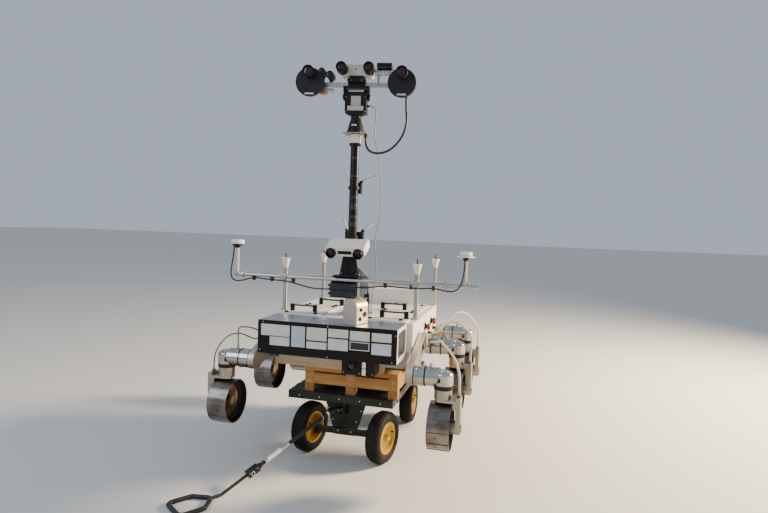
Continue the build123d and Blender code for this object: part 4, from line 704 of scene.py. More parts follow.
plate_white = printed("plate_white", (0.60, 0.59, 0.57, 1), (0.52, 0.50, 0.46, 1))
plate_blue = printed("plate_blue", (0.42, 0.50, 0.54, 1), (0.36, 0.44, 0.49, 1))
plate_lilac = printed("plate_lilac", (0.56, 0.55, 0.64, 1), (0.50, 0.48, 0.56, 1))
plate_black = printed("plate_black", (0.012, 0.012, 0.012, 1), (0.02, 0.019, 0.018, 1))
NAME_PLATES = (
    # left and right edge, lower and upper edge, material
    (-0.363, -0.199, 0.761, 0.822, 0),
    (-0.312, -0.199, 0.711, 0.757, 0),
    (-0.189, -0.112, 0.712, 0.822, 1),
    (-0.103, 0.008, 0.754, 0.822, 0),
    (-0.103, 0.008, 0.711, 0.747, 0),
    (0.016, 0.1245, 0.779, 0.823, 0),
    (0.016, 0.1245, 0.713, 0.772, 0),
    (0.1335, 0.239, 0.772, 0.821, 0),
    (0.1335, 0.239, 0.722, 0.766, 0),
    (0.138, 0.2345, 0.7265, 0.7615, 3),
    (0.250, 0.353, 0.775, 0.819, 0),
    (0.250, 0.353, 0.708, 0.766, 2),
)
PLATE_THICK = 0.0012
sheets = []
for left, right, lower, upper, tint in NAME_PLATES:
    proud = PLATE_THICK * (2 if tint == 3 else 1)
    shape = brick((left, right), (-proud, 0.0002), (lower, upper), 0.0004)
    sheets.append((shape, HERE, tint))
assemble("panel_plates", sheets, [plate_white, plate_blue, plate_lilac, plate_black])
PANEL_SCREWS = (
    (-0.351, 0.8325), (0.012, 0.8325), (0.374, 0.813), (-0.369, 0.682), (0.0135, 0.6735), (0.358, 0.675),
)
heads = [(screw(0.0036), at(x, 0, z, (0, -1, 0))) for x, z in PANEL_SCREWS]
assemble("panel_screws", heads, [zinc])

# Deck lids: lift-off covers of folded white sheet over the bays, each with a black bail handle,
# two black quarter-turn latches and a row of screws; the raised box at the rear is one more of them.
HANDLE_TOP = 0.8495
lid_coat = coat(
    "lid_coat", WHITE, WHITE_STAIN, 0.34, stained=0.35, dust=0.25,
    zones=(
        ("Z", HANDLE_TOP, 1.0, (0.013, 0.013, 0.013, 1), (0.03, 0.028, 0.026, 1)),
        ("Y", zero.y + 0.935, zero.y + 1.1, WHITE, WHITE_STAIN),
    ),
)
finish(lid_coat, "white_shell", "deck_lids")
black_plastic = coat(
    "black_plastic", (0.006, 0.006, 0.006, 1), (0.014, 0.013, 0.012, 1), 0.34, wear=0.1, dust=0.03,
    stained=0.3, shine=0.2,
)
LIDS = ((0.25, 0.246, 0.596), (-0.25, 0.246, 0.596), (0.25, 0.606, 0.930), (-0.25, 0.606, 0.930))
LID_HALF, LID_TOP = 0.125, 0.848
knob = turned([(0.011, 0), (0.011, 0.003), (0.009, 0.005), (0, 0.005)], 20)
grip = brick((-0.012, 0.012), (-0.0022, 0.0022), (0.0045, 0.009))
LATCH_REACH, LATCH_INSET, LATCH_TURN = 0.088, 0.022, 0.5
heads, latches = [], []
for lid_x, lid_front, lid_rear in LIDS:
    head_xs = (lid_x - LID_HALF + 0.012, lid_x + LID_HALF - 0.012)
    heads += rows(screw(0.003), head_xs, spaced(lid_front + 0.03, lid_rear - 0.03, 4), [LID_TOP])
    for side in (-1, 1):
        for latch_y in (lid_front + LATCH_INSET, lid_rear - LATCH_INSET):
            place = at(lid_x + side * LATCH_REACH, latch_y, LID_TOP)
            latches += [(knob, place), (grip, place @ Matrix.Rotation(LATCH_TURN * side, 4, "Z"))]
    slot_x, slot_y = (lid_x - 0.034, lid_x + 0.034), (lid_rear - 0.075, lid_rear - 0.063)
    latches.append((brick(slot_x, slot_y, (LID_TOP - 0.001, LID_TOP + 0.0012)), HERE))
for handle_x, handle_y in ((0.286, 0.328), (-0.262, 0.338), (0.205, 0.660), (-0.205, 0.660)):
    for end_x in (handle_x - 0.070, handle_x + 0.070):
        block_x, block_y = (end_x - 0.012, end_x + 0.012), (handle_y - 0.0095, handle_y + 0.0095)
        latches.append((brick(block_x, block_y, (LID_TOP, 0.8895), 0.003), HERE))
assemble("lid_screws", heads, [zinc])
assemble("lid_latches", latches, [black_plastic])

# Stop buttons and glands: two red mushroom buttons on black collars, for the drive and for the power,
# and dark nylon glands with a ribbed nut where each hose or cable enters.
STOPS = ((0.603, 0.767, 0.020), (0.809, 0.771, 0.022))
RED, RED_STAIN, GLAND_TONES = (0.20, 0.001, 0.002, 1), (0.13, 0.003, 0.003, 1), (
    (0.03, 0.03, 0.03, 1), (0.05, 0.05, 0.05, 1),
)
red_cap = coat(
    "red_cap", RED, RED_STAIN, 0.3, wear=0.0, dust=0.03, gloss=0.15,
    zones=(
        ("X", 0.30, HULL_SIDE + 0.0155, (0.012, 0.012, 0.012, 1), (0.02, 0.019, 0.018, 1)),
        ("X", -1.0, 0.0, *GLAND_TONES), ("Z", DECK, 1.0, *GLAND_TONES), ("Z", 0.6, 0.735, *GLAND_TONES),
    ),
)
finish(red_cap, "control_red", "side_controls")
buttons = []
for stop_y, stop_z, stop_radius in STOPS:
    place = at(HULL_SIDE, stop_y, stop_z, (1, 0, 0))
    collar = turned([(0.0155, 0.0), (0.0155, 0.009), (0.013, 0.011), (stop_radius * 0.6, 0.011)], 28)
    dome = ((0.9, 0.0298), (0.75, 0.0322), (0.4, 0.0336), (0, 0.034))
    crown = turned([(stop_radius * out, height) for out, height in dome], 28)
    buttons += [(sheet(0.024, 0.024, 0.0025, 0.0008), place, 1), (collar, place, 0), (crown, place, 2)]
cap_red = coat("cap_red", RED, RED_STAIN, 0.3, wear=0.0, dust=0.03, gloss=0.15)
assemble("stop_button_caps", buttons, [black_plastic, black_plastic, cap_red])
GLANDS = (
    # side of the rover, x of the face it sits on, y, z, radius
    (1, 0.416, 0.715, 0.712, 0.010), (1, 0.416, 0.900, 0.712, 0.010), (1, 0.446, 0.480, 0.700, 0.010),
    (-1, 0.446, 0.300, 0.688, 0.007), (-1, 0.446, 0.330, 0.698, 0.007),
)
nuts = []
for side, face_x, gland_y, gland_z, gland_radius in GLANDS:
    place, flats = at(side * face_x, gland_y, gland_z, (side, 0, 0)), gland_radius * 1.35
    ribs = [(gland_radius * (1.0 if ring % 2 else 1.08), 0.0055 + ring * 0.0013) for ring in range(6)]
    nuts.append((turned([(flats, 0), (flats, 0.005), (gland_radius, 0.0055)], 6), place))
    nuts.append((turned(ribs, 20), place))
assemble("gland_nuts", nuts, [black_plastic])

# Posts and bar: aluminium tubes with the extrusion's fine lines along them, cut clean at their ends.
# Two posts stand at each side of the hull, and split clamps hold the long bar to the two front ones.
mark_group, given, results = effect("tool_marks", {"Grain": "Vector"}, {"Marks": "Float", "Haze": "Float"})
where = surface(mark_group)
stretched = node(mark_group, "Mapping", {"Vector": where, "Scale": given["Grain"]}).outputs[0]
marks, haze = noise(mark_group, stretched, 1.0, 8.0, 0.75), noise(mark_group, where, 14.0, 6.0)
feed(mark_group, results, Marks=marks, Haze=haze)


def bare_metal(
    name, colour, dull, roughness, grain=(40.0, 900.0, 900.0), dust=0.2, wear=0.6, edge=0.001, dark_tone=None,
):
    """Metal left bare: tool marks along one direction, hazy patches, brighter edges and dust.

    Its last colour, if one is given, is painted on its undersides: a painted brown reflection of the ground
    and painted shade."""
    material, tree, shader = new_material(name)
    marks = node(tree, "Group", {"Grain": grain}, node_tree=mark_group)
    worn = node(tree, "Group", {"Radius": edge, "Amount": wear}, node_tree=wear_group)
    bright = tuple(min(1.0, channel * 1.3) for channel in colour[:3]) + (1,)
    metal = mix_colour(tree, spread(tree, marks.outputs["Haze"], 0.35, 0.68), colour, dull)
    metal = mix_colour(tree, worn.outputs["Share"], metal, bright)
    # Painted reflection and painted shade: faces that look down turn towards a brown colour, as the ground
    # mirrored in them and the shade under them.
    if dark_tone:
        height = node(tree, "SeparateXYZ", {0: node(tree, "NewGeometry").outputs["Normal"]}).outputs["Z"]
        metal = mix_colour(tree, spread(tree, height, -0.7, 0.3, 0.85, 0.0), metal, dark_tone)
    rough = spread(tree, marks.outputs["Marks"], 0.25, 0.75, roughness - 0.08, roughness + 0.12)
    metal, rough, share = dusted(tree, metal, rough, dust)
    metallic = spread(tree, share, 0.0, 1.0, 1.0, 0.0)
    feed(tree, shader, Base_Color=metal, Roughness=rough, Metallic=metallic)
    relief(tree, shader, marks.outputs["Marks"], 0.1, 0.0003, Normal=worn.outputs["Normal"])
    return material


post_metal = bare_metal(
    "post_metal", (0.52, 0.52, 0.51, 1), (0.40, 0.385, 0.36, 1), 0.3, (900.0, 900.0, 30.0)
)
bar_metal = bare_metal("bar_metal", (0.50, 0.50, 0.50, 1), (0.40, 0.39, 0.37, 1), 0.3, (30.0, 900.0, 900.0))
finish(post_metal, "bare_aluminium", "antenna_posts")
finish(bar_metal, "bare_aluminium", "antenna_bar")
POST_X, BAR_Y, BAR_Z, POST_TOP = 0.399, 0.350, 1.046, 1.104
POST_ROWS = (0.376, 1.024)


def bolt_ring(count, circle, radius, place, tint=0, start=0.3):
    """Screws on a circle about a frame's Z."""
    ring = []
    for bolt in range(count):
        angle = start + 2 * pi * bolt / count
        spot = Matrix.Translation((circle * cos(angle), circle * sin(angle), 0))
        ring.append((screw(radius), place @ spot, tint))
    return ring


post_foot = turned([(0.024, 0), (0.024, 0.004), (0.0165, 0.006), (0.0165, 0.018), (0.013, 0.020)], 24)
fittings = []
for side in (-1, 1):
    for post_y in POST_ROWS:
        fittings.append((post_foot, at(side * POST_X, post_y, DECK)))
        fittings += bolt_ring(3, 0.0195, 0.0028, at(side * POST_X, post_y, DECK + 0.004), start=pi + 0.5)
    clamp_xs, clamp_zs = (side * POST_X - 0.011, side * POST_X + 0.011), (BAR_Z - 0.019, BAR_Z + 0.019)
    fittings += rows(screw(0.0034), clamp_xs, [BAR_Y - 0.016], clamp_zs, (0, -1, 0))
assemble("post_fittings", fittings, [post_metal])

# Antennas: cream cone cups with a short rod and a ball on the four posts, and two flat pucks on thin
# uprights at the bar's ends: a white one on a black base with a thin ground plate, and a domed one.
CUP_TONES = (0.78, 0.73, 0.60, 1), (0.62, 0.55, 0.42, 1)
PUCK_TONES = (0.82, 0.81, 0.79, 1), (0.68, 0.65, 0.60, 1)
UPRIGHT_TONES = (0.50, 0.50, 0.49, 1), (0.40, 0.385, 0.36, 1)
cream = coat("cream_plastic", *CUP_TONES, 0.4, wear=0.0, dust=0.15, stained=0.3)
antenna_coat = coat(
    "antenna_coat", *PUCK_TONES, 0.3, wear=0.0, dust=0.12, stained=0.2, gloss=0.2,
    zones=(
        ("Z", 1.10, 1.156, *CUP_TONES), ("Z", 1.156, 1.186, (0.02, 0.02, 0.02, 1), (0.04, 0.04, 0.04, 1)),
        ("X", -0.73, -0.60, *UPRIGHT_TONES), ("X", 0.60, 0.75, *UPRIGHT_TONES),
        ("Z", 1.20, 1.26, *PUCK_TONES),
    ),
)
finish(antenna_coat, "white_housing", "top_antennas")
lip = turned([
    (0.0262, 0), (0.0272, 0.002), (0.0272, 0.006), (0.0262, 0.008), (0.0225, 0.0086), (0.0215, 0.004),
    (0.004, 0.003),
], 28)
bead = turned([(0.0040, 0), (0.0048, 0.0012), (0.0040, 0.0024)], 14)
cup_sleeve = turned([(0.0148, -0.004), (0.0158, 0.0), (0.0158, 0.006), (0.0152, 0.008)], 24)
cup_xs = (-POST_X, POST_X)
tops = rows(lip, cup_xs, POST_ROWS, [1.1465])
tops += rows(bead, cup_xs, POST_ROWS, spaced(1.157, 1.166, 3), tint=1)
tops += rows(cup_sleeve, cup_xs, POST_ROWS, [POST_TOP - 0.002])
PUCKS = (
    # x and z of its underside, radius, height
    (-0.706, 1.222, 0.041, 0.026), (0.671, 1.207, 0.035, 0.025),
)
for puck_x, puck_z, puck_radius, puck_height in PUCKS:
    place, seam_z = at(puck_x, BAR_Y, puck_z), puck_height * 0.34
    inner, outer = puck_radius * 1.002, puck_radius * 1.012
    seam = turned([(inner, seam_z), (outer, seam_z + 0.001), (inner, seam_z + 0.002)], 36)
    neck = [(0.0112, -0.020), (0.0145, -0.018), (0.0145, -0.008)]
    foot = [(0.029, -0.007), (0.031, -0.005), (0.031, 0.0048)] if puck_x < 0 else [(0.0145, 0.0)]
    tops += [(seam, place, 1), (turned(neck + foot, 32), place, 1)]
    below = place @ Matrix.Translation((0, 0, -0.0015)) @ Matrix.Rotation(pi, 4, "X")
    tops += bolt_ring(4, puck_radius * 0.42, 0.0024, below, 2, -0.4)
assemble("antenna_trim", tops, [cream, black_plastic, post_metal])
tape = sleeve("tape_wrap", (0.012, 0.012, 0.013, 1), (0.03, 0.03, 0.03, 1), 0.3, 0.1)
wraps = []
wrap = turned([(0.0128, 0), (0.0139, 0.0006), (0.0142, 0.006), (0.0138, 0.0148), (0.0128, 0.0154)], 20)
stretch = Matrix.Scale(1.55, 4, (0, 0, 1)) @ Matrix.Rotation(pi / 2, 4, "Y")
for wrap_x, drop in ((-0.60, 0.0), (-0.482, 0.0), (-0.345, 0.004), (0.215, 0.0), (0.366, 0.0), (0.49, 0.0)):
    place = Matrix.Translation(from_zero(wrap_x, BAR_Y, BAR_Z - 0.0125 - drop))
    wraps.append((wrap, place @ stretch))
assemble("bar_tape", wraps, [tape])

# Arch instrument: a cast arch set askew on the shelf, lilac-grey paint on its face, the left side covered
# with a pale gold sheet with round sockets in it, and a yellow cap on top. The sheet's gold is painted warm
# sunlight on the side that faces the low sun.
ARCH = Matrix.Translation(from_zero(0.066, 0.082, DECK)) @ Matrix.Rotation(radians(-24), 4, "Z")
ARCH_WIDTH, ARCH_DEPTH, ARCH_HEIGHT, ARCH_CORNER = 0.092, 0.096, 0.131, 0.042
arch_paint = coat("arch_paint", (0.44, 0.405, 0.37, 1), (0.30, 0.275, 0.25, 1), 0.42, wear=0.5, dust=0.2)
finish(arch_paint, "white_housing", "arch_instrument")
# Painted light: the lining's gold stands for the warm low sun on the arch's left side.
painted_sunlight_sheet = bare_metal(
    "painted_sunlight_sheet", (0.92, 0.74, 0.42, 1), (0.80, 0.66, 0.42, 1), 0.36, (30.0, 900.0, 900.0)
)
yellow_cap = coat("yellow_cap", (0.62, 0.36, 0.03, 1), (0.45, 0.27, 0.05, 1), 0.35, wear=0.1, dust=0.15)


def ribbon(path, start, end, thick):
    """A strip that follows a path in X and Z, between two places in Y, thick on its outer side."""
    vertices, faces = [], []
    for index, spot in enumerate(path):
        along = (path[min(index + 1, len(path) - 1)] - path[max(index - 1, 0)]).normalized()
        outward = Vector((along.z, 0, -along.x)) * thick
        for depth in (start, end):
            vertices += [spot + Vector((0, depth, 0)), spot + outward + Vector((0, depth, 0))]
    for index in range(len(path) - 1):
        first = index * 4
        for one, two in ((0, 1), (1, 3), (3, 2), (2, 0)):
            faces.append((first + one, first + two, first + two + 4, first + one + 4))
    last = len(vertices) - 4
    return vertices, faces + [(0, 2, 3, 1), (last, last + 1, last + 3, last + 2)]


lining = [Vector((ARCH_WIDTH, 0, 0.005)), Vector((ARCH_WIDTH, 0, ARCH_HEIGHT - ARCH_CORNER))]
arch_corner = Vector((ARCH_WIDTH - ARCH_CORNER, 0, ARCH_HEIGHT - ARCH_CORNER))
for step in range(1, 9):
    angle = radians(step * 8.5)
    lining.append(arch_corner + ARCH_CORNER * Vector((cos(angle), 0, sin(angle))))
arch_bits = [(ribbon(lining, 0.006, ARCH_DEPTH - 0.006, 0.0014), ARCH, 0)]
for hole_y, hole_z, hole_radius in ((0.030, 0.030, 0.010), (0.066, 0.052, 0.012), (0.034, 0.078, 0.009)):
    rim = ((1.2, 0), (1.2, 0.0016), (1.0, 0.0022), (0.9, 0.0004), (0, 0.0004))
    socket = turned([(hole_radius * out, height) for out, height in rim], 20)
    arch_bits.append((socket, ARCH @ facing((ARCH_WIDTH + 0.0014, hole_y, hole_z), (1, 0, 0)), 1))
arch_bits += rows(screw(0.003), (0.01, 0.082), [0], (0.012, 0.085), (0, -1, 0), 2, ARCH)
cover = brick((0.02, 0.072), (-0.0016, 0.0004), (0.022, 0.096), 0.0012)
arch_bits.append((cover, ARCH, 3))
knob = turned([(0.015, 0), (0.015, 0.006), (0.012, 0.010), (0.006, 0.012), (0, 0.012)], 20)
arch_bits.append((knob, ARCH @ facing((0.050, 0.060, ARCH_HEIGHT)), 4))
assemble("arch_lining", arch_bits, [painted_sunlight_sheet, black_plastic, zinc, arch_paint, yellow_cap])

# Nose instrument: a black cast block bolted under the shelf, with a bored lens that looks ahead and
# an upright silver tube beside it.
nose_coat = coat(
    "nose_coat", (0.006, 0.0055, 0.0055, 1), (0.014, 0.013, 0.012, 1), 0.3, wear=0.3, dust=0.03, shine=0.2
)
finish(nose_coat, "black_housing", "nose_instrument")
silver = bare_metal(
    "silver", (0.78, 0.77, 0.75, 1), (0.66, 0.64, 0.60, 1), 0.26, (900.0, 900.0, 40.0), dust=0.1
)
glass, tree, shader = new_material("lens_glass")
film = noise(tree, surface(tree), 30.0, 3.0)
glass_tone = mix_colour(tree, film, (0.010, 0.004, 0.006, 1), (0.030, 0.009, 0.009, 1))
feed(tree, shader, Base_Color=glass_tone, Roughness=spread(tree, film, 0.2, 0.8, 0.03, 0.12))
shader.inputs["Specular IOR Level"].default_value = 0.4
shader.inputs["Coat Weight"].default_value = 0.3
shader.inputs["Coat Roughness"].default_value = 0.02


def lens(radius, proud=0.12):
    """A domed front glass."""
    steps = 6
    angles = [step * pi / 2 / steps for step in range(steps)]
    profile = [(radius * cos(angle), radius * proud * sin(angle)) for angle in angles]
    return turned(profile + [(0, radius * proud)], 32)


nose_bits = [(lens(0.0186), at(0.100, 0.1385, 0.600, (0, -1, 0)), 0)]
nose_bits.append((band(0.0243, 0.0252, 0.004, 0.016, 0.002), at(0.100, 0.150, 0.600, (0, -1, 0)), 1))
nose_bits += rows(band(0.0122, 0.0130, 0, 0.035, sides=24), [0.172], [0.142], (0.560, 0.598), tint=2)
nose_bits += rows(screw(0.0034), (0.056, 0.146, 0.218), [0.150], (0.563, 0.629), (0, -1, 0), 1)
assemble("nose_lens", nose_bits, [glass, zinc, silver])

# Mast: one black anodised tube in a ribbed socket, with a grooved profile column beside its foot.
# Black tape and cable ties hold the leads to it here and there.
mast_coat = coat(
    "mast_coat", (0.005, 0.005, 0.006, 1), (0.010, 0.010, 0.010, 1), 0.3, wear=0.0, dust=0.02,
    stained=0.2, gloss=0.05, shine=0.2,
)
finish(mast_coat, "black_tube", "mast_tube")
finish(post_metal, "bare_aluminium", "mast_base")
MAST_Y = 0.410
foot = rows(screw(0.0045), (-0.045, 0.045), (MAST_Y - 0.045, MAST_Y + 0.045), [DECK + 0.008])
foot.append((sheet(0.0255, 0.0255, 0.003, 0.001), at(0.087, MAST_Y, DECK + 0.220), 1))
for angle in (0.8, 2.4, 3.9, 5.5):
    spot = from_zero(0.034 * cos(angle), MAST_Y + 0.034 * sin(angle), DECK + 0.264 + 0.020)
    foot.append((screw(0.0028), facing(spot), 0))
assemble("mast_foot_bolts", foot, [zinc, black_plastic])
wraps = []
MAST_WRAPS = (
    # height, width of the tape
    (1.215, 0.012), (1.352, 0.030), (1.400, 0.018), (1.452, 0.036), (1.516, 0.014), (1.640, 0.010),
    (1.742, 0.014),
)
for wrap_z, wrap_height in MAST_WRAPS:
    turns = [(0.0252, 0.0), (0.0264, 0.001), (0.0266, wrap_height * 0.5), (0.0262, wrap_height - 0.001)]
    wraps.append((turned(turns + [(0.0252, wrap_height)], 28), at(0, MAST_Y, wrap_z)))
assemble("mast_tape", wraps, [tape])

# Bracket and computer: black folded plates clamped round the mast, a computer in a smooth black case
# whose black is tinted blue as a painted sheen of the sky, and an upright terminal box on the column.
bracket_coat = coat(
    "bracket_coat", (0.006, 0.006, 0.007, 1), (0.014, 0.0135, 0.0135, 1), 0.32, wear=0.25, dust=0.03,
    shine=0.2,
)
finish(bracket_coat, "black_housing", "mast_bracket")
# Painted sheen: the case's black is tinted blue, standing in for the sky mirrored in it.
case_coat = coat(
    "case_coat", (0.014, 0.018, 0.026, 1), (0.026, 0.030, 0.038, 1), 0.2, wear=0.1, dust=0.08,
    gloss=0.3, shine=0.3,
)


def plug(outer, inner, length, sides=16, foot=0.005):
    """A plug in its socket: a flange and a narrower body on it."""
    return turned([(outer, 0), (outer, 0.004), (inner, foot), (inner, length), (0, length)], sides)


box_bits = [(brick((-0.101, 0.047), (0.3364, 0.3382), (0.948, 1.021), 0.0016), HERE, 0)]
box_bits += rows(screw(0.0026), (-0.095, 0.041), [0.3364], (0.953, 1.016), (0, -1, 0), 1)
for index in range(6):
    slot_x = -0.080 + index * 0.022
    box_bits.append((brick((slot_x, slot_x + 0.012), (0.3358, 0.3366), (0.978, 0.991), 0.0003), HERE, 2))
side_plug = turned([
    (0.0085, 0), (0.0085, 0.004), (0.0065, 0.005), (0.0065, 0.012), (0.0045, 0.013), (0, 0.013),
], 16)
for index, plug_z in enumerate((0.962, 0.988, 1.010)):
    box_bits.append((side_plug, at(-0.106, 0.352 + 0.009 * (index % 2), plug_z, (-1, 0, 0)), 2))
for index in range(4):
    sides, tint = (6, 1) if index % 2 else (16, 2)
    place = at(0.110, 0.363, 0.866 + index * 0.026, (0, -1, 0))
    box_bits.append((plug(0.0075, 0.0058, 0.010, sides), place, tint))
stub = turned([(0.005, 0), (0.005, 0.012), (0.0028, 0.014), (0.0028, 0.05), (0, 0.051)], 14)
box_bits.append((stub, at(0.116, 0.374, 0.967), 2))
for x, z in ((-0.045, 1.082), (0.045, 1.082), (-0.030, 1.184), (0.030, 1.184)):
    box_bits.append((screw(0.0036), at(x, 0.364, z, (0, -1, 0)), 1))
assemble("computer_case", box_bits, [case_coat, zinc, black_plastic])

# Navigation camera: a pair of lenses in deep black hoods under a white painted box that looks down.
NAV = Matrix.Translation(from_zero(0, 0.322, 1.234)) @ Matrix.Rotation(radians(30), 4, "X")
finish(white_coat, "white_housing", "nav_camera")
nav_bits = []


def hood(outer, bore, depth, glass_at):
    """A deep hood on a lens tube: a flange, a thin wall that runs forward, and a bore down to the glass."""
    return turned([
        (outer + 0.0017, 0), (outer + 0.0017, 0.003), (outer, 0.004), (outer, depth - 0.0014),
        (outer - 0.001, depth), (bore + 0.001, depth), (bore, depth - 0.0017), (bore, glass_at),
        (0, glass_at),
    ], 36)


for side in (-1, 1):
    place = NAV @ facing((side * 0.080, -0.055, -0.002), (0, -1, 0))
    nav_bits.append((hood(0.0278, 0.0226, 0.0229, 0.0113), place, 0))
    for rib_at in (0.008, 0.0125, 0.017):
        nav_bits.append((band(0.0278, 0.0285, rib_at, rib_at + 0.0026, 0.0008, 36), place, 0))
    nav_bits.append((lens(0.0205), place @ Matrix.Translation((0, 0, 0.0118)), 1))
nav_bits.append((sheet(0.110, 0.049, 0.0014, 0.0006), NAV @ facing((0, 0, 0.025)), 2))
nav_bits += rows(screw(0.0026), (-0.103, 0, 0.103), (-0.042, 0.042), [0.0264], tint=3, base=NAV)
nav_bits.append((brick((-0.040, 0.040), (-0.0562, -0.0548), (-0.012, 0.010), 0.0005), NAV, 0))
nav_bits += rows(screw(0.0024), (-0.050, 0.050), [-0.055], [0.014], (0, -1, 0), 3, NAV)
assemble("nav_hoods", nav_bits, [black_plastic, glass, white_coat, zinc])

# Radios: black boxes strapped behind the mast, each with two pale rod aerials that fold out.
finish(bracket_coat, "black_housing", "mast_radios")
rod_plastic = coat(
    "rod_plastic", (0.52, 0.51, 0.48, 1), (0.40, 0.38, 0.34, 1), 0.4, wear=0.0, dust=0.15, stained=0.3
)
RADIO_RODS = (
    # box's height, foot's distance from the middle, end of each rod
    (1.548, 0.026, (-0.074, 1.680), (0.124, 1.656)),
    (1.262, 0.046, (-0.070, 1.398), (0.106, 1.380)),
)
rod_bits = []
for box_z, foot_x, *ends in RADIO_RODS:
    for end_x, end_z in ends:
        side = 1 if end_x > 0 else -1
        start = from_zero(side * (foot_x + 0.003), MAST_Y + 0.042, box_z + 0.067)
        reach = from_zero(end_x, MAST_Y + 0.042, end_z) - start
        place, length = facing(start, reach), reach.length
        rod = [(0.0070, 0.012), (0.0070, length * 0.45), (0.0067, length * 0.46), (0.0067, length - 0.002)]
        rod += [(0.0048, length + 0.0008), (0, length + 0.0014)]
        hinge = [(0.0086, -0.006), (0.0088, 0.004), (0.0074, 0.012)]
        rod_bits += [(turned(rod, 16), place, 0), (turned(hinge, 16), place, 1)]
    head_xs, head_zs = (-foot_x * 0.8, foot_x * 0.8), (box_z + 0.008, box_z + 0.054)
    rod_bits += rows(screw(0.0024), head_xs, [MAST_Y + 0.058], head_zs, (0, 1, 0), 2)
    rod_bits.append((band(0.0322, 0.0330, 0, 0.014, 0.001, 32), at(0, MAST_Y, box_z + 0.023), 1))
assemble("radio_rods", rod_bits, [rod_plastic, black_plastic, zinc])

# Mast top: a cream collar with a dark ring, a grey-brown plate on it, and the black cone of the fixed
# half of the pan drive, with a small pale label left blank.
PAN_TONES = (0.006, 0.006, 0.0075, 1), (0.013, 0.0125, 0.0135, 1)
pan_coat = coat(
    "pan_coat", *PAN_TONES, 0.34, wear=0.15, dust=0.03, shine=0.18,
    zones=(
        ("X", 0.053, 0.074, *PAN_TONES), ("Z", 1.8285, 1.868, (0.74, 0.70, 0.60, 1), (0.60, 0.54, 0.43, 1)),
        ("Z", 1.8875, 1.8925, (0.30, 0.26, 0.22, 1), (0.20, 0.17, 0.14, 1)),
    ),
)
finish(pan_coat, "black_housing", "pan_base")
cream_collar = coat("cream_collar", (0.76, 0.72, 0.62, 1), (0.62, 0.56, 0.45, 1), 0.42, wear=0.1, dust=0.12)
dark_ring = turned([(0.0252, -0.010), (0.0345, -0.009), (0.0345, 0.004), (0.0322, 0.005)], 32)
top_bits = [(band(0.0322, 0.0328, 0, 0.0335, 0.001, 32), at(0, MAST_Y, 1.852), 0)]
top_bits.append((dark_ring, at(0, MAST_Y, 1.830), 1))
top_bits += rows(screw(0.0034), (-0.056, 0.046), (MAST_Y - 0.042, MAST_Y + 0.042), [1.892], tint=2)
top_bits += bolt_ring(6, 0.0535, 0.0022, at(0, MAST_Y, 1.898), 2, 0.3)
label_place = at(0.002, MAST_Y - 0.0398, 1.934, (0.05, -1, 0.27))
top_bits.append((sheet(0.014, 0.004, 0.0030, 0.0004), label_place, 3))
assemble("mast_top_trim", top_bits, [cream_collar, black_plastic, zinc, plate_white])

# Pan drive: a black cast box with a round top that turns on the cone, a pale strip along its upper
# front edge, and two thin printed plates on its face, left blank here.
HEAD = Matrix.Translation(from_zero(0, MAST_Y, 0)) @ Matrix.Rotation(radians(9), 4, "Z")
HEAD = HEAD @ Matrix.Translation((0, -MAST_Y, 0))
TILT_Z = 2.100
drive_coat = coat(
    "drive_coat", (0.006, 0.0062, 0.0078, 1), (0.013, 0.013, 0.014, 1), 0.36, wear=0.2, dust=0.03,
    shine=0.18,
)
finish(drive_coat, "black_housing", "pan_head")
plate_grey = printed("plate_grey", (0.36, 0.37, 0.40, 1), (0.28, 0.28, 0.31, 1), 0.3)
plate_sand = printed("plate_sand", (0.50, 0.47, 0.43, 1), (0.42, 0.39, 0.35, 1), 0.4)
pan_bits = [
    (brick((-0.026, 0.030), (0.3668, 0.3682), (2.044, 2.098), 0.0005), HEAD, 0),
    (brick((-0.046, 0.046), (0.3664, 0.3681), (2.016, 2.042), 0.0005), HEAD, 1),
    (brick((-0.064, -0.0605), (0.380, 0.440), (2.020, 2.086), 0.0010), HEAD, 2),
]
for x in (-0.055, 0.055):
    for z in (2.010, 2.092):
        pan_bits.append((screw(0.0026), HEAD @ facing((x, 0.368, z), (0, -1, 0)), 3))
        pan_bits.append((screw(0.0026), HEAD @ facing((x, 0.452, z), (0, 1, 0)), 3))
pan_bits.append((brick((-0.045, 0.045), (0.4515, 0.4530), (2.020, 2.084), 0.0010), HEAD, 2))
strip = []
for angle in range(147, 111, -5):
    reach = 0.0421 * Vector((cos(radians(angle)), 0, sin(radians(angle))))
    strip.append(Vector((MAST_Y, 0, TILT_Z)) + reach)
pan_bits.append((ribbon(strip, -0.044, 0.044, 0.0009), HEAD @ Matrix.Rotation(pi / 2, 4, "Z"), 4))
pan_looks = [plate_grey, plate_sand, drive_coat, zinc, plate_white]
assemble("pan_drive_plates", pan_bits, pan_looks, "pan")

# Tilt bracket: a black milled yoke on the pan drive's two stubs, with a block that clamps the beam.
finish(drive_coat, "black_housing", "tilt_bracket")
stub_nut = turned([
    (0.0135, 0), (0.0135, 0.005), (0.010, 0.0065), (0.006, 0.0065), (0.006, 0.002), (0, 0.002),
], 6)
yoke_bits = []
for side in (-1, 1):
    yoke_bits.append((stub_nut, HEAD @ facing((side * 0.078, MAST_Y, TILT_Z), (side, 0, 0)), 0))
    for quarter in range(4):
        angle = quarter * pi / 2 + 0.8
        spot = (side * 0.074, MAST_Y + 0.0185 * cos(angle), TILT_Z + 0.0185 * sin(angle))
        yoke_bits.append((screw(0.0018), HEAD @ facing(spot, (side, 0, 0)), 0))
    for y in (-0.024, 0.024):
        yoke_bits.append((screw(0.003), HEAD @ facing((side * 0.070, MAST_Y + y, 2.156)), 0))
        yoke_bits.append((screw(0.003), HEAD @ facing((side * 0.046, MAST_Y + y, 2.200)), 0))
    for z in (2.185, 2.195):
        yoke_bits.append((screw(0.0022), HEAD @ facing((side * 0.030, MAST_Y - 0.034, z), (0, -1, 0)), 0))
assemble("tilt_bracket_bolts", yoke_bits, [zinc], "head")

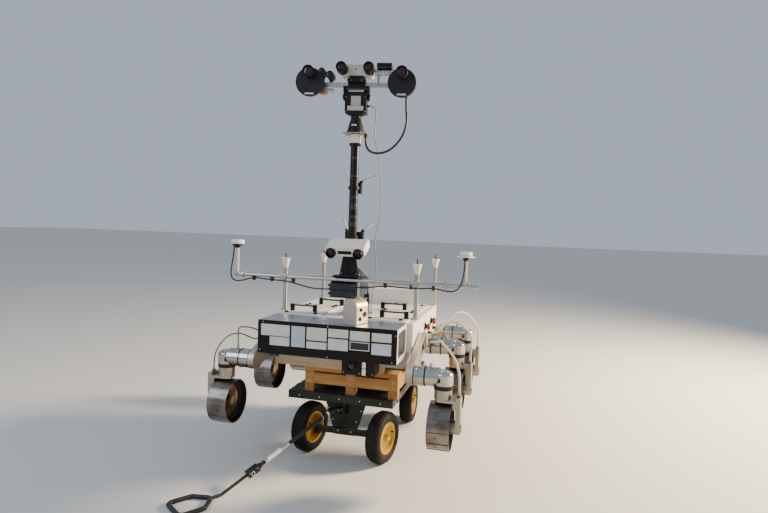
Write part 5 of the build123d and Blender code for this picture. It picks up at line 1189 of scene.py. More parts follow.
# Camera beam: a square aluminium tube, with a silver housing on two feet beside the stereo camera, a
# flat black box on that, and a plug in an orange-brown block under the other end.
finish(bar_metal, "bare_aluminium", "camera_beam")
amber = coat("amber", (0.34, 0.15, 0.03, 1), (0.22, 0.10, 0.03, 1), 0.35, wear=0.1, dust=0.15, gloss=0.2)
beam_bits = [
    (brick((-0.2130, -0.1780), (0.3790, 0.4190), (2.1112, 2.1508), 0.002), HEAD, 0),
    (brick((0.1152, 0.2008), (0.3752, 0.4448), (2.2600, 2.2868), 0.0016), HEAD, 1),
]
for index in range(7):
    fin_x = 0.122 + index * 0.012
    beam_bits.append((brick((fin_x, fin_x + 0.005), (0.378, 0.442), (2.2866, 2.2885), 0.0005), HEAD, 1))
TUBE_Z = 2.242
tube_ring = band(0.0201, 0.0212, 0, 0.0048, 0.0008)
tube_cap = turned([(0.017, 0), (0.017, 0.0015), (0.011, 0.0015), (0.011, 0.0040), (0, 0.0040)], 24)
plug_ring = band(0.0131, 0.0140, 0, 0.006, 0.001, 20)
screw_xs = (-0.172, -0.110, -0.072, 0.090, 0.124, 0.156, 0.188)
beam_bits += rows(tube_ring, (0.110, 0.150, 0.196, 0.205), [MAST_Y], [TUBE_Z], (1, 0, 0), 2, HEAD)
for cap_x, aim in ((0.106, -1), (0.212, 1)):
    beam_bits.append((tube_cap, HEAD @ facing((cap_x, MAST_Y, TUBE_Z), (aim, 0, 0)), 1))
beam_bits += rows(plug_ring, (-0.166, -0.156, -0.146), [0.400], [2.132], (1, 0, 0), 2, HEAD)
beam_bits += rows(screw(0.0028), screw_xs, [MAST_Y - 0.012], [2.168], (0, -1, 0), 3, HEAD)
assemble("beam_fittings", beam_bits, [amber, black_plastic, silver, zinc], "head")

# Filter wheels: flat round housings of dark grey anodised metal at the beam's ends, each with a
# camera box behind it, screws near its rim, and one small pale label left blank.
disc_coat = coat(
    "disc_coat", (0.013, 0.0145, 0.018, 1), (0.024, 0.0255, 0.030, 1), 0.5, wear=0.2, dust=0.03, shine=0.2
)
finish(disc_coat, "black_housing", "filter_wheels")
DISC_X, DISC_Z, DISC_FRONT = 0.263, 2.168, 0.336
hub = turned([
    (0.016, 0), (0.016, 0.0014), (0.013, 0.0022), (0.005, 0.0022), (0.005, 0.0006), (0, 0.0006),
], 28)
wheel_bits = []
for side in (-1, 1):
    front = HEAD @ facing((side * DISC_X, DISC_FRONT, DISC_Z), (0, -1, 0))
    rim = [(0.0800, -0.004), (0.0806, -0.002), (0.0800, 0.0004), (0.0760, 0.0012), (0.0750, 0.0001)]
    wheel_bits.append((turned(rim, 56), front, 0))
    for bolt in range(10):
        angle = bolt * pi / 5 + 0.16
        if abs(angle % (2 * pi) - pi / 2) < 0.75:
            continue
        place = Matrix.Translation((0.070 * cos(angle), 0.070 * sin(angle), 0))
        wheel_bits.append((screw(0.0021), front @ place, 0))
    wheel_bits.append((hub, front @ Matrix.Translation((0, -0.010, 0)), 0))
    tag = brick((side * DISC_X - 0.026, side * DISC_X + 0.026), (0.3349, 0.3362), (2.0965, 2.1055), 0.0004)
    wheel_bits.append((tag, HEAD, 1))
    for z in (2.150, 2.196, 2.236):
        for x in (-0.028, 0.028):
            wheel_bits.append((screw(0.0024), HEAD @ facing((side * DISC_X + x, 0.456, z), (0, 1, 0)), 2))
    plate = brick((side * DISC_X - 0.022, side * DISC_X + 0.022), (0.4550, 0.4574), (2.146, 2.238), 0.001)
    top = brick((side * DISC_X - 0.029, side * DISC_X + 0.029), (0.370, 0.448), (2.2458, 2.2474), 0.0008)
    wheel_bits += [(plate, HEAD, 0), (top, HEAD, 0)]
    plug_xs = (side * DISC_X - 0.012, side * DISC_X + 0.012)
    wheel_bits += rows(plug(0.0075, 0.0058, 0.010), plug_xs, [0.4574], [DISC_Z], (0, 1, 0), 2, HEAD)
assemble("filter_wheel_rims", wheel_bits, [disc_coat, plate_white, zinc], "head")

# Lenses: short barrels above the discs' middles, their front glass reddish black, and two small
# cameras that stand on the beam beside the right disc.
barrel_coat = coat(
    "barrel_coat", (0.007, 0.006, 0.007, 1), (0.015, 0.013, 0.014, 1), 0.34, wear=0.2, dust=0.03, shine=0.2
)
finish(barrel_coat, "lens_black", "lens_barrels")
lens_bits = []
for side in (-1, 1):
    place = HEAD @ facing((side * DISC_X, DISC_FRONT, 2.217), (0, -1, 0))
    lens_bits.append((lens(0.0272, 0.16), place @ Matrix.Translation((0, 0, 0.0372)), 0))
    for start, stop in ((0.0060, 0.0130), (0.0180, 0.0290), (0.0400, 0.0440)):
        lens_bits.append((band(0.0331, 0.0340, start, stop, 0.001, 40), place, 1))
for small_x, small_z, small_radius in ((-0.200, 2.234, 0.020), (-0.152, 2.216, 0.021)):
    place = HEAD @ facing((small_x, 0.364, small_z), (0, -1, 0))
    lip = [(small_radius * 1.03, -0.008), (small_radius * 1.03, 0.0025), (small_radius * 0.86, 0.0028)]
    lens_bits.append((turned(lip + [(small_radius * 0.80, 0.0003)], 28), place, 1))
    lens_bits.append((lens(small_radius * 0.80, 0.12), place, 0))
    for start in (0.022, 0.050):
        ring = [(small_radius * 1.005, -start), (small_radius * 1.05, -start - 0.001)]
        ring += [(small_radius * 1.05, -start - 0.008), (small_radius * 1.005, -start - 0.009)]
        lens_bits.append((turned(ring, 28), place, 1))
    rear_plug = plug(0.010, 0.007, 0.012, 18, 0.006)
    lens_bits.append((rear_plug, HEAD @ facing((small_x, 0.440, small_z), (0, 1, 0)), 1))
assemble("lens_glasses", lens_bits, [glass, barrel_coat], "head")

# Stereo camera: a light grey cast body on the clamp, two lenses in deep black hoods, vents below.
stereo_coat = coat(
    "stereo_coat", (0.50, 0.48, 0.46, 1), (0.40, 0.37, 0.34, 1), 0.36, wear=0.2, dust=0.1, stained=0.3
)
finish(stereo_coat, "white_housing", "stereo_camera")
STEREO_Z = 2.243
stereo_bits = []
for side in (-1, 1):
    place = HEAD @ facing((side * 0.0775, 0.360, STEREO_Z), (0, -1, 0))
    stereo_bits.append((hood(0.0300, 0.0234, 0.0634, 0.0520), place, 0))
    for start in (0.010, 0.020, 0.036, 0.046):
        stereo_bits.append((band(0.0300, 0.0307, start, start + 0.006, 0.0008, 36), place, 0))
    stereo_bits.append((lens(0.0210), place @ Matrix.Translation((0, 0, 0.0521)), 1))
    for index in range(5):
        vent_y = 0.395 + index * 0.012
        vent_x = sorted((side * 0.0918, side * 0.0928))
        stereo_bits.append((brick(vent_x, (vent_y, vent_y + 0.005), (2.228, 2.256), 0.0003), HEAD, 0))
stereo_bits.append((brick((-0.040, 0.040), (0.3588, 0.3602), (2.222, 2.264), 0.0008), HEAD, 2))
button = turned([(0.0042, 0), (0.0042, 0.0012), (0, 0.0014)], 14)
stereo_bits.append((button, HEAD @ facing((0, 0.3588, 2.246), (0, -1, 0)), 0))
stereo_bits += rows(screw(0.0022), (-0.035, 0.035), [0.3588], (2.226, 2.260), (0, -1, 0), 3, HEAD)
stereo_bits += rows(screw(0.0026), (-0.078, 0.078), (0.375, 0.456), [2.272], tint=3, base=HEAD)
stereo_bits.append((brick((-0.050, 0.050), (0.372, 0.456), (2.2718, 2.2732), 0.0006), HEAD, 2))
stereo_bits += rows(plug(0.008, 0.006, 0.010), (-0.05, -0.02, 0.04), [0.470], [2.240], (0, 1, 0), 3, HEAD)
assemble("stereo_hoods", stereo_bits, [black_plastic, glass, stereo_coat, zinc], "head")

# Bogies: welded box-section arms of bare metal, pocketed on their outer sides, that rock on a pivot at
# each side of the hull, and a cross beam on a pivot behind it.
# The brown that the bare metals' downward faces take: a painted reflection of the ground and painted shade.
PAINTED_UNDERSIDE_REFLECTION = (0.20, 0.155, 0.11, 1)
bogie_metal = bare_metal(
    "bogie_metal", (0.60, 0.58, 0.54, 1), (0.46, 0.43, 0.38, 1), 0.4, dust=0.2, dark_tone=PAINTED_UNDERSIDE_REFLECTION
)
finish(bogie_metal, "bare_aluminium", "bogies")
PIVOT_Y, PIVOT_Z, BOGIE_OUTER, STEER_X = 0.400, 0.725, 0.458, 0.611
UNITS = (
    # row, y, height of the wheel's middle
    ("front", 0.087, 0.356),
    ("middle", 0.630, 0.404),
    ("rear", 1.174, 0.386),
)
DRIVE_RISE = 0.248


def hoop(start, stop, radius, soft=0.0006):
    """A thin band round Z between two heights, its edges turned down."""
    return band(radius - 0.003, radius, start, stop, soft, 48)


def lap_line(long, wide, high):
    """A dark line along X where one plate ends over the next, its edge worn into waves."""
    vertices, faces, steps = [], [], 28
    for step in range(steps + 1):
        x = -long + 2 * long * step / steps
        wave = 0.0011 * sin(step * 1.9) + 0.0008 * sin(step * 0.83 + 1.0)
        for y, z in ((-wide, -high), (-wide, high), (wide + wave, high), (wide + wave, -high)):
            vertices.append(Vector((x, y, z)))
    for step in range(steps):
        for corner in range(4):
            first, second = 4 * step + corner, 4 * step + (corner + 1) % 4
            faces.append([first, second, second + 4, first + 4])
    return vertices, faces + [[3, 2, 1, 0], [4 * steps + corner for corner in range(4)]]


pivot_cap = turned([
    (0.0300, 0), (0.0300, 0.002), (0.026, 0.004), (0.012, 0.004), (0.012, 0.0065), (0, 0.0065),
], 36)
bogie_bits = []
for side in (-1, 1):
    pivot = at(side * (BOGIE_OUTER + 0.008), PIVOT_Y, PIVOT_Z, (side, 0, 0))
    bogie_bits.append((pivot_cap, pivot, 1))
    bogie_bits += bolt_ring(6, 0.0215, 0.0026, pivot @ Matrix.Translation((0, 0, 0.004)))
    for row, unit_y, unit_z in UNITS[:2]:
        flange = at(side * BOGIE_OUTER, unit_y, unit_z + DRIVE_RISE, (side, 0, 0))
        bogie_bits += bolt_ring(8, 0.0535, 0.0012, flange)
for side in (-1, 1):
    for share in (0.15, 0.35, 0.55, 0.75):
        place = at(side * 0.43 * share, UNITS[2][1] + 0.020, 0.670 - 0.036 * share, (0, 1, 0))
        bogie_bits.append((screw(0.0040), place, 0))
assemble("bogie_pivot_caps", bogie_bits, [zinc, silver])

# Drive units: turned and polished housings, a lying one on the bogie and an upright one over the leg,
# with black seal rings, a square black breather on the elbow and a lipped cap.
polished = bare_metal(
    "polished", (0.60, 0.59, 0.58, 1), (0.44, 0.42, 0.40, 1), 0.15, (700.0, 60.0, 60.0), dust=0.06,
    dark_tone=PAINTED_UNDERSIDE_REFLECTION,
)
finish(polished, "polished_housing", "drive_units")
seal = sleeve("seal_rubber", (0.003, 0.003, 0.003, 1), (0.008, 0.008, 0.008, 1), 0.5, 0.02)
LIP_Z = 0.2836
unit_cap = turned([
    (0.0300, 0.2795), (0.0300, 0.2822), (0.0285, LIP_Z), (0.0120, LIP_Z), (0.0120, 0.2826), (0, 0.2826),
], 36)
breather = brick((-0.0100, 0.0100), (-0.0100, 0.0100), (-0.002, 0.0055), 0.0010)
notch = brick((-0.016, 0.006), (-0.007, 0.007), (-0.001, 0.0022), 0.0008)
drive_bits = []
for side in (-1, 1):
    for row, unit_y, unit_z in UNITS:
        lying = at(side * BOGIE_OUTER, unit_y, unit_z + DRIVE_RISE, (side, 0, 0))
        upright = Matrix.Translation(from_zero(side * STEER_X, unit_y, unit_z))
        for start, stop, radius, kind in (
            (0.0005, 0.0060, 0.0530, 0), (0.0562, 0.0638, 0.0530, 0), (0.0160, 0.0200, 0.0526, 1),
            (0.0480, 0.0520, 0.0526, 1), (0.0860, 0.0900, 0.0496, 1),
        ):
            drive_bits.append((hoop(start, stop, radius), lying, kind))
        for start, stop, radius, kind in (
            (0.1903, 0.2140, 0.0484, 0), (0.2165, 0.2215, 0.0502, 1), (0.2610, 0.2665, 0.0499, 1),
        ):
            drive_bits.append((hoop(start, stop, radius), upright, kind))
        drive_bits.append((unit_cap, upright, 1))
        drive_bits += bolt_ring(6, 0.0215, 0.0022, upright @ Matrix.Translation((0, 0, LIP_Z)), 2)
        for way in (-1, 1):
            heading = Vector((-side * sin(0.42), way * cos(0.42), 0))
            spot = upright @ (heading * 0.0485 + Vector((0, 0, 0.240)))
            drive_bits.append((breather, facing(spot, heading), 0))
        notch_place = facing((-side * 0.040, -0.020, 0.2765), (-side * 0.55, 0, 1))
        drive_bits.append((notch, upright @ notch_place, 0))
assemble("drive_unit_rings", drive_bits, [seal, polished, zinc])

# Legs: a turning cylinder, a top plate and a long milled plate outside the wheel, bolted together, the
# wheel's motor in its foot. The metal is warm with dust from the ground, and its undersides are turned
# brown as a painted reflection of the ground and painted shade.
leg_metal = bare_metal(
    "leg_metal", (0.52, 0.475, 0.40, 1), (0.36, 0.32, 0.26, 1), 0.3, (60.0, 60.0, 900.0), dust=0.2,
    dark_tone=PAINTED_UNDERSIDE_REFLECTION,
)
dish_metal = bare_metal(
    "dish_metal", (0.46, 0.32, 0.18, 1), (0.22, 0.14, 0.075, 1), 0.3, (60.0, 60.0, 60.0), dust=0.06
)
tread_metal = bare_metal(
    "tread_metal", (0.24, 0.225, 0.22, 1), (0.13, 0.105, 0.082, 1), 0.26, (12.0, 700.0, 700.0), dust=0.08
)
dark_tone = sleeve("dark_tone", (0.006, 0.0055, 0.005, 1), (0.016, 0.013, 0.010, 1), 0.6, 0.05)
SHIN_X, WHEEL_X, TREAD_RADIUS, LAP, PLATES = 0.705, 0.605, 0.1225, 0.003, 12
foot_cap = turned([
    (0.0225, 0), (0.0225, 0.0012), (0.020, 0.002), (0.010, 0.002), (0.010, 0.0006), (0, 0.0006),
], 30)
dimple = turned([(0.0046, -0.0004), (0.0044, 0.0003), (0.0030, 0.0002), (0, 0.0002)], 12)
for side_name, side in (("left", 1), ("right", -1)):
    for row, unit_y, unit_z in UNITS:
        leg_name, wheel_name = f"leg_{row}_{side_name}", f"wheel_{row}_{side_name}"
        finish(leg_metal, "bare_aluminium", leg_name)
        finish(tread_metal, "wheel_steel", wheel_name)
        shin = at(side * SHIN_X, unit_y, unit_z, (side, 0, 0))
        upright = Matrix.Translation(from_zero(side * STEER_X, unit_y, unit_z))
        leg_bits = []
        for y in (-0.030, 0.030):
            for x in (0.030, 0.052):
                leg_bits.append((screw(0.0036), upright @ facing((side * x, y, 0.142)), 0))
            for z in (0.040, 0.088, 0.144):
                spot = from_zero(side * SHIN_X, unit_y + y * (0.85 if z < 0.1 else 1.0), unit_z + z)
                leg_bits.append((screw(0.0032), facing(spot, (side, 0, 0)), 0))
        foot = shin @ Matrix.Translation((0, 0, 0.005))
        leg_bits.append((foot_cap, foot, 1))
        leg_bits += bolt_ring(6, 0.0160, 0.0022, foot @ Matrix.Translation((0, 0, 0.002)))
        for start, stop in ((0.1425, 0.1480), (0.1640, 0.1680), (0.1840, 0.1895)):
            leg_bits.append((hoop(start, stop, 0.0459), upright, 1))
        gland = [(0.0115, 0.156), (0.0115, 0.161), (0.0095, 0.162), (0.0095, 0.170), (0.0080, 0.1735)]
        leg_bits.append((turned(gland, 6), upright @ Matrix.Translation((side * 0.082, 0, 0)), 2))
        motor = at(side * (WHEEL_X + 0.027), unit_y, unit_z, (side, 0, 0))
        for start in (0.006, 0.020, 0.034):
            leg_bits.append((hoop(start, start + 0.006, 0.0368), motor, 1))
        leg_looks = [zinc, leg_metal, black_plastic]
        assemble(f"{leg_name}_fittings", leg_bits, leg_looks, leg_name)

        # Its wheel: twelve lapped steel plates screwed round a ring, with a bronze-coloured dish inside. The
        # dish's outer ring and the inside of the tread are near black: painted shade inside the wheel.
        hub, wheel_bits = at(side * WHEEL_X, unit_y, unit_z, (side, 0, 0)), []
        # Painted shade: the dish's outermost cone, next to the tread, takes the near-black material.
        for lift, cone in (
            (-0.0009, ((0.1160, -0.0255), (0.0900, -0.0110), (0.0810, -0.0060), (0.0335, 0.0128))),
            (0.0009, ((0.1160, -0.0214), (0.0900, -0.0061), (0.0830, -0.0020), (0.0360, 0.0176))),
        ):
            for kind, (out, out_x), (near, near_x) in zip((1, 0, 0), cone, cone[1:]):
                skin = [(out, out_x + lift), (near, near_x + lift)]
                skin += [(near, near_x - lift), (out, out_x - lift)]
                wheel_bits.append((turned(skin + skin[:1], 64), hub, kind))
        # Painted shade: a near-black lining on the inside of the tread.
        for start, stop in ((-0.0560, -0.0272), (-0.0190, 0.0560)):
            lining = [(0.1166, start), (0.1166, stop), (0.1156, stop), (0.1156, start), (0.1166, start)]
            wheel_bits.append((turned(lining, 64), hub, 1))
        for start, stop, radius in ((-0.0276, -0.0258, 0.029), (0.0258, 0.0276, 0.029)):
            boss = [(radius, start), (radius, stop), (0.024, stop), (0.024, start), (radius, start)]
            wheel_bits.append((turned(boss, 36), hub, 0))
        wheel_bits += bolt_ring(8, 0.062, 0.0036, hub @ facing((0, 0, 0.0010), (0, 0, -1)), 2)
        marks = (-0.014, TREAD_RADIUS - LAP + 0.0002), (0.42, TREAD_RADIUS - 0.4 * LAP + 0.0002)
        for plate in range(PLATES):
            for share, reach in marks:
                angle = 2 * pi * (plate + share) / PLATES
                spot = from_zero(side * WHEEL_X, unit_y + reach * cos(angle), unit_z + reach * sin(angle))
                place = Matrix.Translation(spot) @ Matrix.Rotation(angle - pi / 2, 4, "X")
                if share < 0:
                    wheel_bits.append((lap_line(0.0560, 0.0011, 0.0004), place, 1))
                else:
                    wheel_bits.append((dimple, place @ Matrix.Translation((-side * 0.010, 0, 0)), 1))
        assemble(f"{wheel_name}_plates", wheel_bits, [dish_metal, dark_tone, zinc], wheel_name)

# Cart: a welded frame of channel rails with a sheet deck, its front beam on two cheeks and a straight
# rear axle, brushed nearly black green and bolted through its rails.
cart_coat = coat(
    "cart_coat", (0.006, 0.011, 0.009, 1), (0.016, 0.020, 0.015, 1), 0.42, wear=0.35, dust=0.1, shine=0.25,
    bare=(0.20, 0.17, 0.14, 1),
)
finish(cart_coat, "cart_green", "cart_frame")
CART_X, CART_SIDES, CART_ENDS, RAIL_Z = 0.004, (-0.306, 0.314), (0.250, 1.250), 0.3785
AXLE_Z, FRONT_AXLE_Y, REAR_AXLE_Y, KINGPIN = 0.148, 0.383, 1.103, 0.165
washer = turned([(0.0085, 0), (0.0085, 0.0012), (0.0045, 0.0014)], 18)
strip = brick((-0.024, 0.024), (-0.0165, 0.0165), (-0.0005, 0.0025), 0.0012)


def washered(x, y, direction):
    """A bolt head on its washer, half-way up a rail."""
    place = at(x, y, RAIL_Z, direction)
    return [(washer, place, 0), (screw(0.0048), place @ Matrix.Translation((0, 0, 0.0010)), 1)]


frame_bits = []
for side, rail_x in zip((-1, 1), CART_SIDES):
    for step in range(8):
        frame_bits += washered(rail_x, 0.305 + step * 0.127, (side, 0, 0))
    for axle_y in (FRONT_AXLE_Y, REAR_AXLE_Y):
        frame_bits.append((strip, at(rail_x, axle_y, RAIL_Z, (side, 0, 0), pi / 2), 0))
for end, rail_y in zip((-1, 1), CART_ENDS):
    for step in range(5):
        frame_bits += washered(-0.236 + step * 0.120, rail_y, (0, end, 0))
for side in (-1, 1):
    for face, cheek_y in ((-1, FRONT_AXLE_Y - 0.021), (1, FRONT_AXLE_Y + 0.021)):
        for spot_x, spot_z in ((0.098, 0.285), (0.072, 0.220), (0.040, 0.155)):
            spot = at(CART_X + side * spot_x, cheek_y, spot_z, (0, face, 0))
            frame_bits.append((screw(0.0050), spot, 1))
    for spot_y in (-0.024, 0.024):
        spot = at(CART_X + side * 0.134, REAR_AXLE_Y + spot_y, 0.270, (side, 0, 0))
        frame_bits.append((screw(0.0050), spot, 1))
assemble("frame_bolts", frame_bits, [cart_coat, zinc])

# Steering: a tongue on an upright pin, knuckles on kingpins and the rod that joins them, black forgings
# with bright nuts, greased and dusty.
steering_coat = coat(
    "steering_coat", (0.006, 0.006, 0.007, 1), (0.016, 0.015, 0.013, 1), 0.4, wear=0.5, dust=0.1, shine=0.35,
)
finish(steering_coat, "steering_black", "cart_tongue", "knuckle_left", "knuckle_right", "track_rod")
TONGUE = Matrix.Translation(from_zero(CART_X, 0.333, 0.300)) @ Matrix.Rotation(radians(-34), 4, "Z")
KNUCKLE_TURN = radians(-13.6)
hexagon = [(0.0085 * cos(corner * pi / 3), 0.0085 * sin(corner * pi / 3)) for corner in range(6)]
nut = prism(hexagon, 0, 0.006)
tongue_bits = [(nut, TONGUE @ facing((side * 0.020, -0.090, 0), (side, 0, 0)), 0) for side in (-1, 1)]
for side in (-1, 1):
    for spot_y in (-0.030, -0.052):
        tongue_bits.append((screw(0.0036), TONGUE @ facing((side * 0.020, spot_y, 0.004), (side, 0, 0)), 0))
assemble("tongue_nuts", tongue_bits, [zinc], "tongue")
for side_name, side in (("left", 1), ("right", -1)):
    pin = Matrix.Translation(from_zero(CART_X + side * KINGPIN, FRONT_AXLE_Y, 0))
    place = pin @ Matrix.Rotation(KNUCKLE_TURN, 4, "Z")
    cap = turned([(0.0125, 0), (0.0125, 0.002), (0.009, 0.0045), (0, 0.0052)], 24)
    bits = [(cap, place @ facing((0, 0, AXLE_Z + 0.030)), 0)]
    bits.append((screw(0.0040), place @ facing((0, -0.076, AXLE_Z + 0.0498)), 0))
    assemble(f"knuckle_caps_{side_name}", bits, [zinc], f"knuckle_{side_name}")

# Pull pole: a black steel tube with a bright sleeve and collars, a moulded coupler with a cross pin, and a
# bent thin stem down to a loop grip in worn black rubber.
pole_coat = coat(
    "pole_coat", (0.006, 0.006, 0.007, 1), (0.015, 0.014, 0.013, 1), 0.34, wear=0.3, dust=0.08, shine=0.35,
)
finish(pole_coat, "pole_steel", "pull_pole")
POLE = TONGUE @ Matrix.Translation((0, -0.090, 0)) @ Matrix.Rotation(radians(23.7), 4, "X")
sleeve_metal = bare_metal(
    "sleeve_metal", (0.74, 0.73, 0.71, 1), (0.58, 0.56, 0.52, 1), 0.26, (300.0, 300.0, 40.0), dust=0.2
)
pole_white = coat("pole_white", (0.80, 0.79, 0.76, 1), (0.62, 0.58, 0.52, 1), 0.35, wear=0.3, dust=0.25)
along = POLE @ facing((0, 0, 0), (0, -1, 0))
pole_bits = []
for start, stop, radius, kind in (
    (0.018, 0.030, 0.0128, 1), (0.060, 0.066, 0.0116, 0), (0.300, 0.352, 0.0122, 0),
    (0.352, 0.440, 0.0112, 1), (0.440, 0.458, 0.0140, 0), (0.486, 0.4985, 0.0150, 2),
):
    pole_bits.append((hoop(start, stop, radius, 0.001), along, kind))
for side in (-1, 1):
    pin_end = turned([(0.0105, 0), (0.0105, 0.002), (0.0075, 0.0026), (0.0068, 0.0026)], 20)
    pole_bits.append((pin_end, POLE @ facing((side * 0.021, -0.542, 0), (side, 0, 0)), 0))
    for spot_y in (-0.512, -0.556):
        pole_bits.append((screw(0.0030), POLE @ facing((side * 0.021, spot_y, 0.009), (side, 0, 0)), 0))
    nut_y = -0.515 if side > 0 else -0.540
    pole_bits.append((nut, POLE @ facing((0.004, nut_y, side * 0.017), (0, 0, side)), 0))
assemble("pole_sleeves", pole_bits, [sleeve_metal, pole_white, black_plastic], "pull_pole")

# Cart wheels: yellow stove-enamelled rims with a dished web, valve, wheel nuts and hub cap, and wide
# rubber tyres with rows of lugs.
rim_coat = coat(
    "rim_coat", (0.62, 0.33, 0.0, 1), (0.44, 0.21, 0.001, 1), 0.36, wear=0.25, dust=0.02, stained=0.4,
    shine=0.3, bare=(0.30, 0.24, 0.18, 1),
)
rubber, tree, shader = new_material("tyre_rubber")
rubber_look = {"Colour": (0.004, 0.004, 0.004, 1), "Stain": (0.012, 0.011, 0.010, 1), "Amount": 0.7}
tone = node(tree, "Group", rubber_look, node_tree=tone_group)
rubbed, rough, share = dusted(tree, tone.outputs["Colour"], 0.62, 0.07)
feed(tree, shader, Base_Color=rubbed, Roughness=rough)
shader.inputs["Specular IOR Level"].default_value = 0.18
relief(tree, shader, noise(tree, surface(tree), 340.0, 6.0, 0.7), 0.25, 0.0006)

TYRE_SIDE = (
    # x across the wheel, radius: from one bead over the tread to the other
    (-0.0330, 0.0864), (-0.0330, 0.0924), (-0.0362, 0.0930), (-0.0385, 0.0965), (-0.0400, 0.0985),
    (-0.0430, 0.1080), (-0.0440, 0.1165), (-0.0432, 0.1230), (-0.0412, 0.1300), (-0.0360, 0.1385),
    (-0.0290, 0.1418), (-0.0100, 0.1438),
)
LUGS, LUG_TOP = 36, 0.1479
casing = [(radius, x) for x, radius in TYRE_SIDE]
casing += [(radius, -x) for x, radius in reversed(TYRE_SIDE)]
casing.append(casing[0])
lug_rows = (
    # from x, to x, half an arc in turns of a lug, offset in lugs, height of the outer end
    (-0.0060, 0.0060, 0.34, 0.0, LUG_TOP), (0.0085, 0.0215, 0.30, 0.5, LUG_TOP - 0.0006),
    (-0.0215, -0.0085, 0.30, 0.5, LUG_TOP - 0.0006), (0.0240, 0.0385, 0.32, 0.0, 0.1370),
    (-0.0385, -0.0240, 0.32, 0.0, 0.1370),
)
lug_shapes = []
for start, stop, half_arc, offset, end_height in lug_rows:
    near, far = (start, stop) if abs(start) < abs(stop) else (stop, start)
    inner = LUG_TOP if abs(near) < 0.02 else 0.1462
    for lug in range(LUGS):
        middle, reach = 2 * pi * (lug + offset) / LUGS, 2 * pi * half_arc / LUGS
        vertices = []
        for depth in (0, 1):
            for x, height in ((near, inner), (far, end_height)):
                radius = height - depth * (0.0075 if x == far else 0.0055)
                for angle in (middle - reach, middle + reach):
                    shrink = 0.86 if depth == 0 else 1.0
                    turn_to = middle + (angle - middle) * shrink
                    vertices.append(Vector((radius * cos(turn_to), radius * sin(turn_to), x)))
        faces = [(0, 1, 3, 2), (4, 6, 7, 5), (0, 4, 5, 1), (2, 3, 7, 6), (0, 2, 6, 4), (1, 5, 7, 3)]
        lug_shapes.append((vertices, faces))
hub_cap = turned([
    (0.0150, 0.0325), (0.0150, 0.0400), (0.0130, 0.0435), (0.0060, 0.0450), (0, 0.0452),
], 28)
WHEEL_REACH = 0.231
for side_name, side in (("left", 1), ("right", -1)):
    for end, turn_to, axle_y in (("front", KNUCKLE_TURN, FRONT_AXLE_Y), ("rear", 0, REAR_AXLE_Y)):
        finish(rim_coat, "rim_yellow", f"rim_{end}_{side_name}")
        pin_x = KINGPIN if end == "front" else 0.0
        reach = WHEEL_REACH - pin_x
        pin = Matrix.Translation(from_zero(CART_X + side * pin_x, axle_y, AXLE_Z))
        place = pin @ Matrix.Rotation(turn_to, 4, "Z") @ facing((side * reach, 0, 0), (side, 0, 0))
        wheel_name = f"cart_wheel_{end}_{side_name}"
        tyre_bits = [(shape, place, 0) for shape in [turned(casing, 96)] + lug_shapes]
        assemble(
            f"tread_{end}_{side_name}", tyre_bits, [rubber], wheel_name,
            replaced=(f"tyre_{end}_{side_name}",),
        )
        rim_bits = [(hub_cap, place, 1)]
        for bolt in range(4):
            angle = 0.5 + bolt * pi / 2
            spot = Matrix.Translation((0.036 * cos(angle), 0.036 * sin(angle), 0.0206))
            rim_bits.append((nut, place @ spot, 1))
        for radius, height in ((0.0720, 0.0362), (0.0860, 0.0364)):
            low_z, high_z = height - 0.002, height + 0.0006
            bead = turned([(radius - 0.0024, low_z), (radius, high_z), (radius + 0.0024, low_z)], 64)
            rim_bits.append((bead, place, 0))
        valve = place @ facing((0.062, 0.018, 0.0215), (0.2, 0, 1))
        stem = [(0.0042, 0), (0.0036, 0.012), (0.0030, 0.014), (0.0030, 0.020), (0, 0.0205)]
        rim_bits.append((turned(stem, 14), valve, 2))
        rim_looks = [rim_coat, zinc, black_plastic]
        assemble(f"rim_nuts_{end}_{side_name}", rim_bits, rim_looks, wheel_name)

# Pallet and timbers: sawn softwood boards nailed on stringers and corner blocks, gone orange with age, and
# two paler planed timbers across it that carry the rover's tub.
grain_group, given, results = effect(
    "wood_grain", {"Run": "Vector", "Shift": "Float"}, {"Rings": "Float", "Fibre": "Float"}
)
where = surface(grain_group)
moved = node(grain_group, "VectorMath", {0: where, 1: given["Shift"]}, operation="ADD").outputs[0]
run = node(grain_group, "Mapping", {"Vector": moved, "Scale": given["Run"]}).outputs[0]
bend = spread(grain_group, noise(grain_group, run, 0.6, 3.0), 0.3, 0.7, 0.0, 2.2)
waved = node(grain_group, "VectorMath", {0: run, 1: bend}, operation="ADD").outputs[0]
rings, fibre = noise(grain_group, waved, 1.6, 4.0, 0.55), noise(grain_group, run, 9.0, 8.0, 0.8)
feed(grain_group, results, Rings=rings, Fibre=fibre)


def wood(name, pale, dark, run, dust=0.2):
    """Sawn wood: grain along one direction, each board with its own tone and its own part of the grain."""
    material, tree, shader = new_material(name)
    island = node(tree, "NewGeometry").outputs["Random Per Island"]
    shift = node(tree, "Math", {0: island, 1: 7.0}, operation="MULTIPLY").outputs[0]
    grain = node(tree, "Group", {"Run": run, "Shift": shift}, node_tree=grain_group)
    colour = mix_colour(tree, spread(tree, grain.outputs["Rings"], 0.38, 0.66), pale, dark)
    fibre = spread(tree, grain.outputs["Fibre"], 0.42, 0.75, 0.0, 0.55)
    colour = mix_colour(tree, fibre, colour, tuple(channel * 0.5 for channel in dark[:3]) + (1,))
    shade = spread(tree, island, 0.0, 1.0, 0.0, 0.4)
    colour = mix_colour(tree, shade, colour, tuple(channel * 0.66 for channel in pale[:3]) + (1,))
    rough = spread(tree, grain.outputs["Fibre"], 0.3, 0.7, 0.55, 0.8)
    colour, rough, share = dusted(tree, colour, rough, dust)
    feed(tree, shader, Base_Color=colour, Roughness=rough)
    shader.inputs["Specular IOR Level"].default_value = 0.3
    relief(tree, shader, grain.outputs["Fibre"], 0.35, 0.0012)
    return material


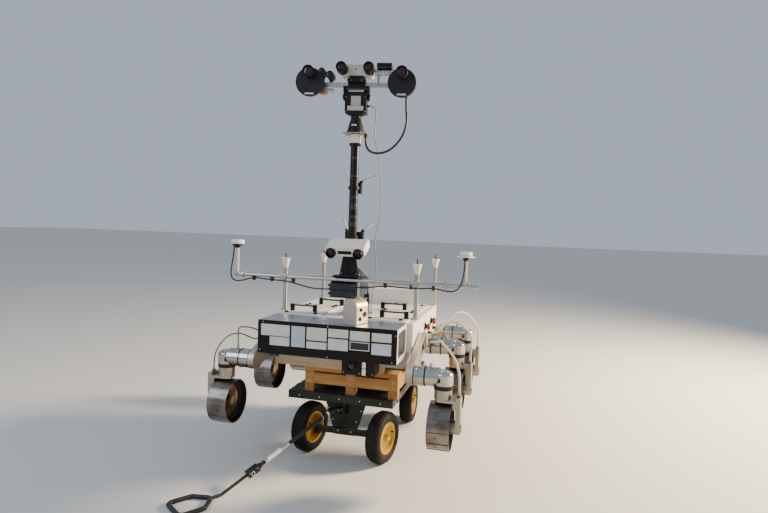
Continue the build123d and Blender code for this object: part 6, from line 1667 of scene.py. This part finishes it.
WOOD_PALE, WOOD_DARK = (0.54, 0.285, 0.075, 1), (0.345, 0.150, 0.032, 1)
cross_wood = wood("cross_wood", WOOD_PALE, WOOD_DARK, (2.5, 45.0, 45.0), 0.15)
long_wood = wood("long_wood", WOOD_PALE, WOOD_DARK, (45.0, 2.5, 45.0), 0.15)
end_wood = wood("end_wood", (0.38, 0.20, 0.060, 1), (0.24, 0.105, 0.028, 1), (60.0, 60.0, 20.0), 0.15)
BOARD_X, BOARD_Z = (-0.214, 0.334), (0.520, 0.545)
pallet_bits = []


def board(x, y, z, kind, bevel=0.0016):
    """Adds a board between two places on each axis, measured from the zero point."""
    pallet_bits.append((brick(x, y, z, bevel), HERE, kind))


top_rows = ((0.268, 0.363), (0.474, 0.569), (0.687, 0.782), (0.893, 0.988))
for start, stop in top_rows:
    board(BOARD_X, (start, stop), BOARD_Z, 0)
for stringer_x in (-0.214, 0.033, 0.280):
    board((stringer_x, stringer_x + 0.054), (0.2685, 0.9875), (0.448, 0.5195), 1)
    for foot_y in (0.268, 0.601, 0.934):
        board((stringer_x, stringer_x + 0.054), (foot_y, foot_y + 0.054), (0.400, 0.4478), 2)
for start, stop in ((0.271, 0.296), (0.960, 0.985)):
    board(BOARD_X, (start, stop), (0.4482, 0.510), 0)
top_nail = turned([(0.0034, -0.0004), (0.0032, 0.0006), (0, 0.0008)], 10)
side_nail = turned([(0.0034, -0.0004), (0.0032, 0.0016), (0, 0.0018)], 10)
stringer_xs = (-0.187, 0.060, 0.307)
for start, stop in top_rows:
    for stringer_x in stringer_xs:
        for share in (0.25, 0.75):
            nail_x, nail_y = stringer_x + (share - 0.5) * 0.02, start + share * (stop - start)
            pallet_bits.append((top_nail, at(nail_x, nail_y, BOARD_Z[1]), 3))
pallet_bits += rows(side_nail, stringer_xs, [0.2700], (0.464, 0.494), (0, -1, 0), 3)
assemble(
    "pallet_boards", pallet_bits, [cross_wood, long_wood, end_wood, zinc], replaced=("pallet",)
)
pine = wood("pine", (0.68, 0.52, 0.31, 1), (0.46, 0.31, 0.155, 1), (2.2, 38.0, 38.0), 0.12)
finish(pine, "timber_wood", "spacer_timbers")
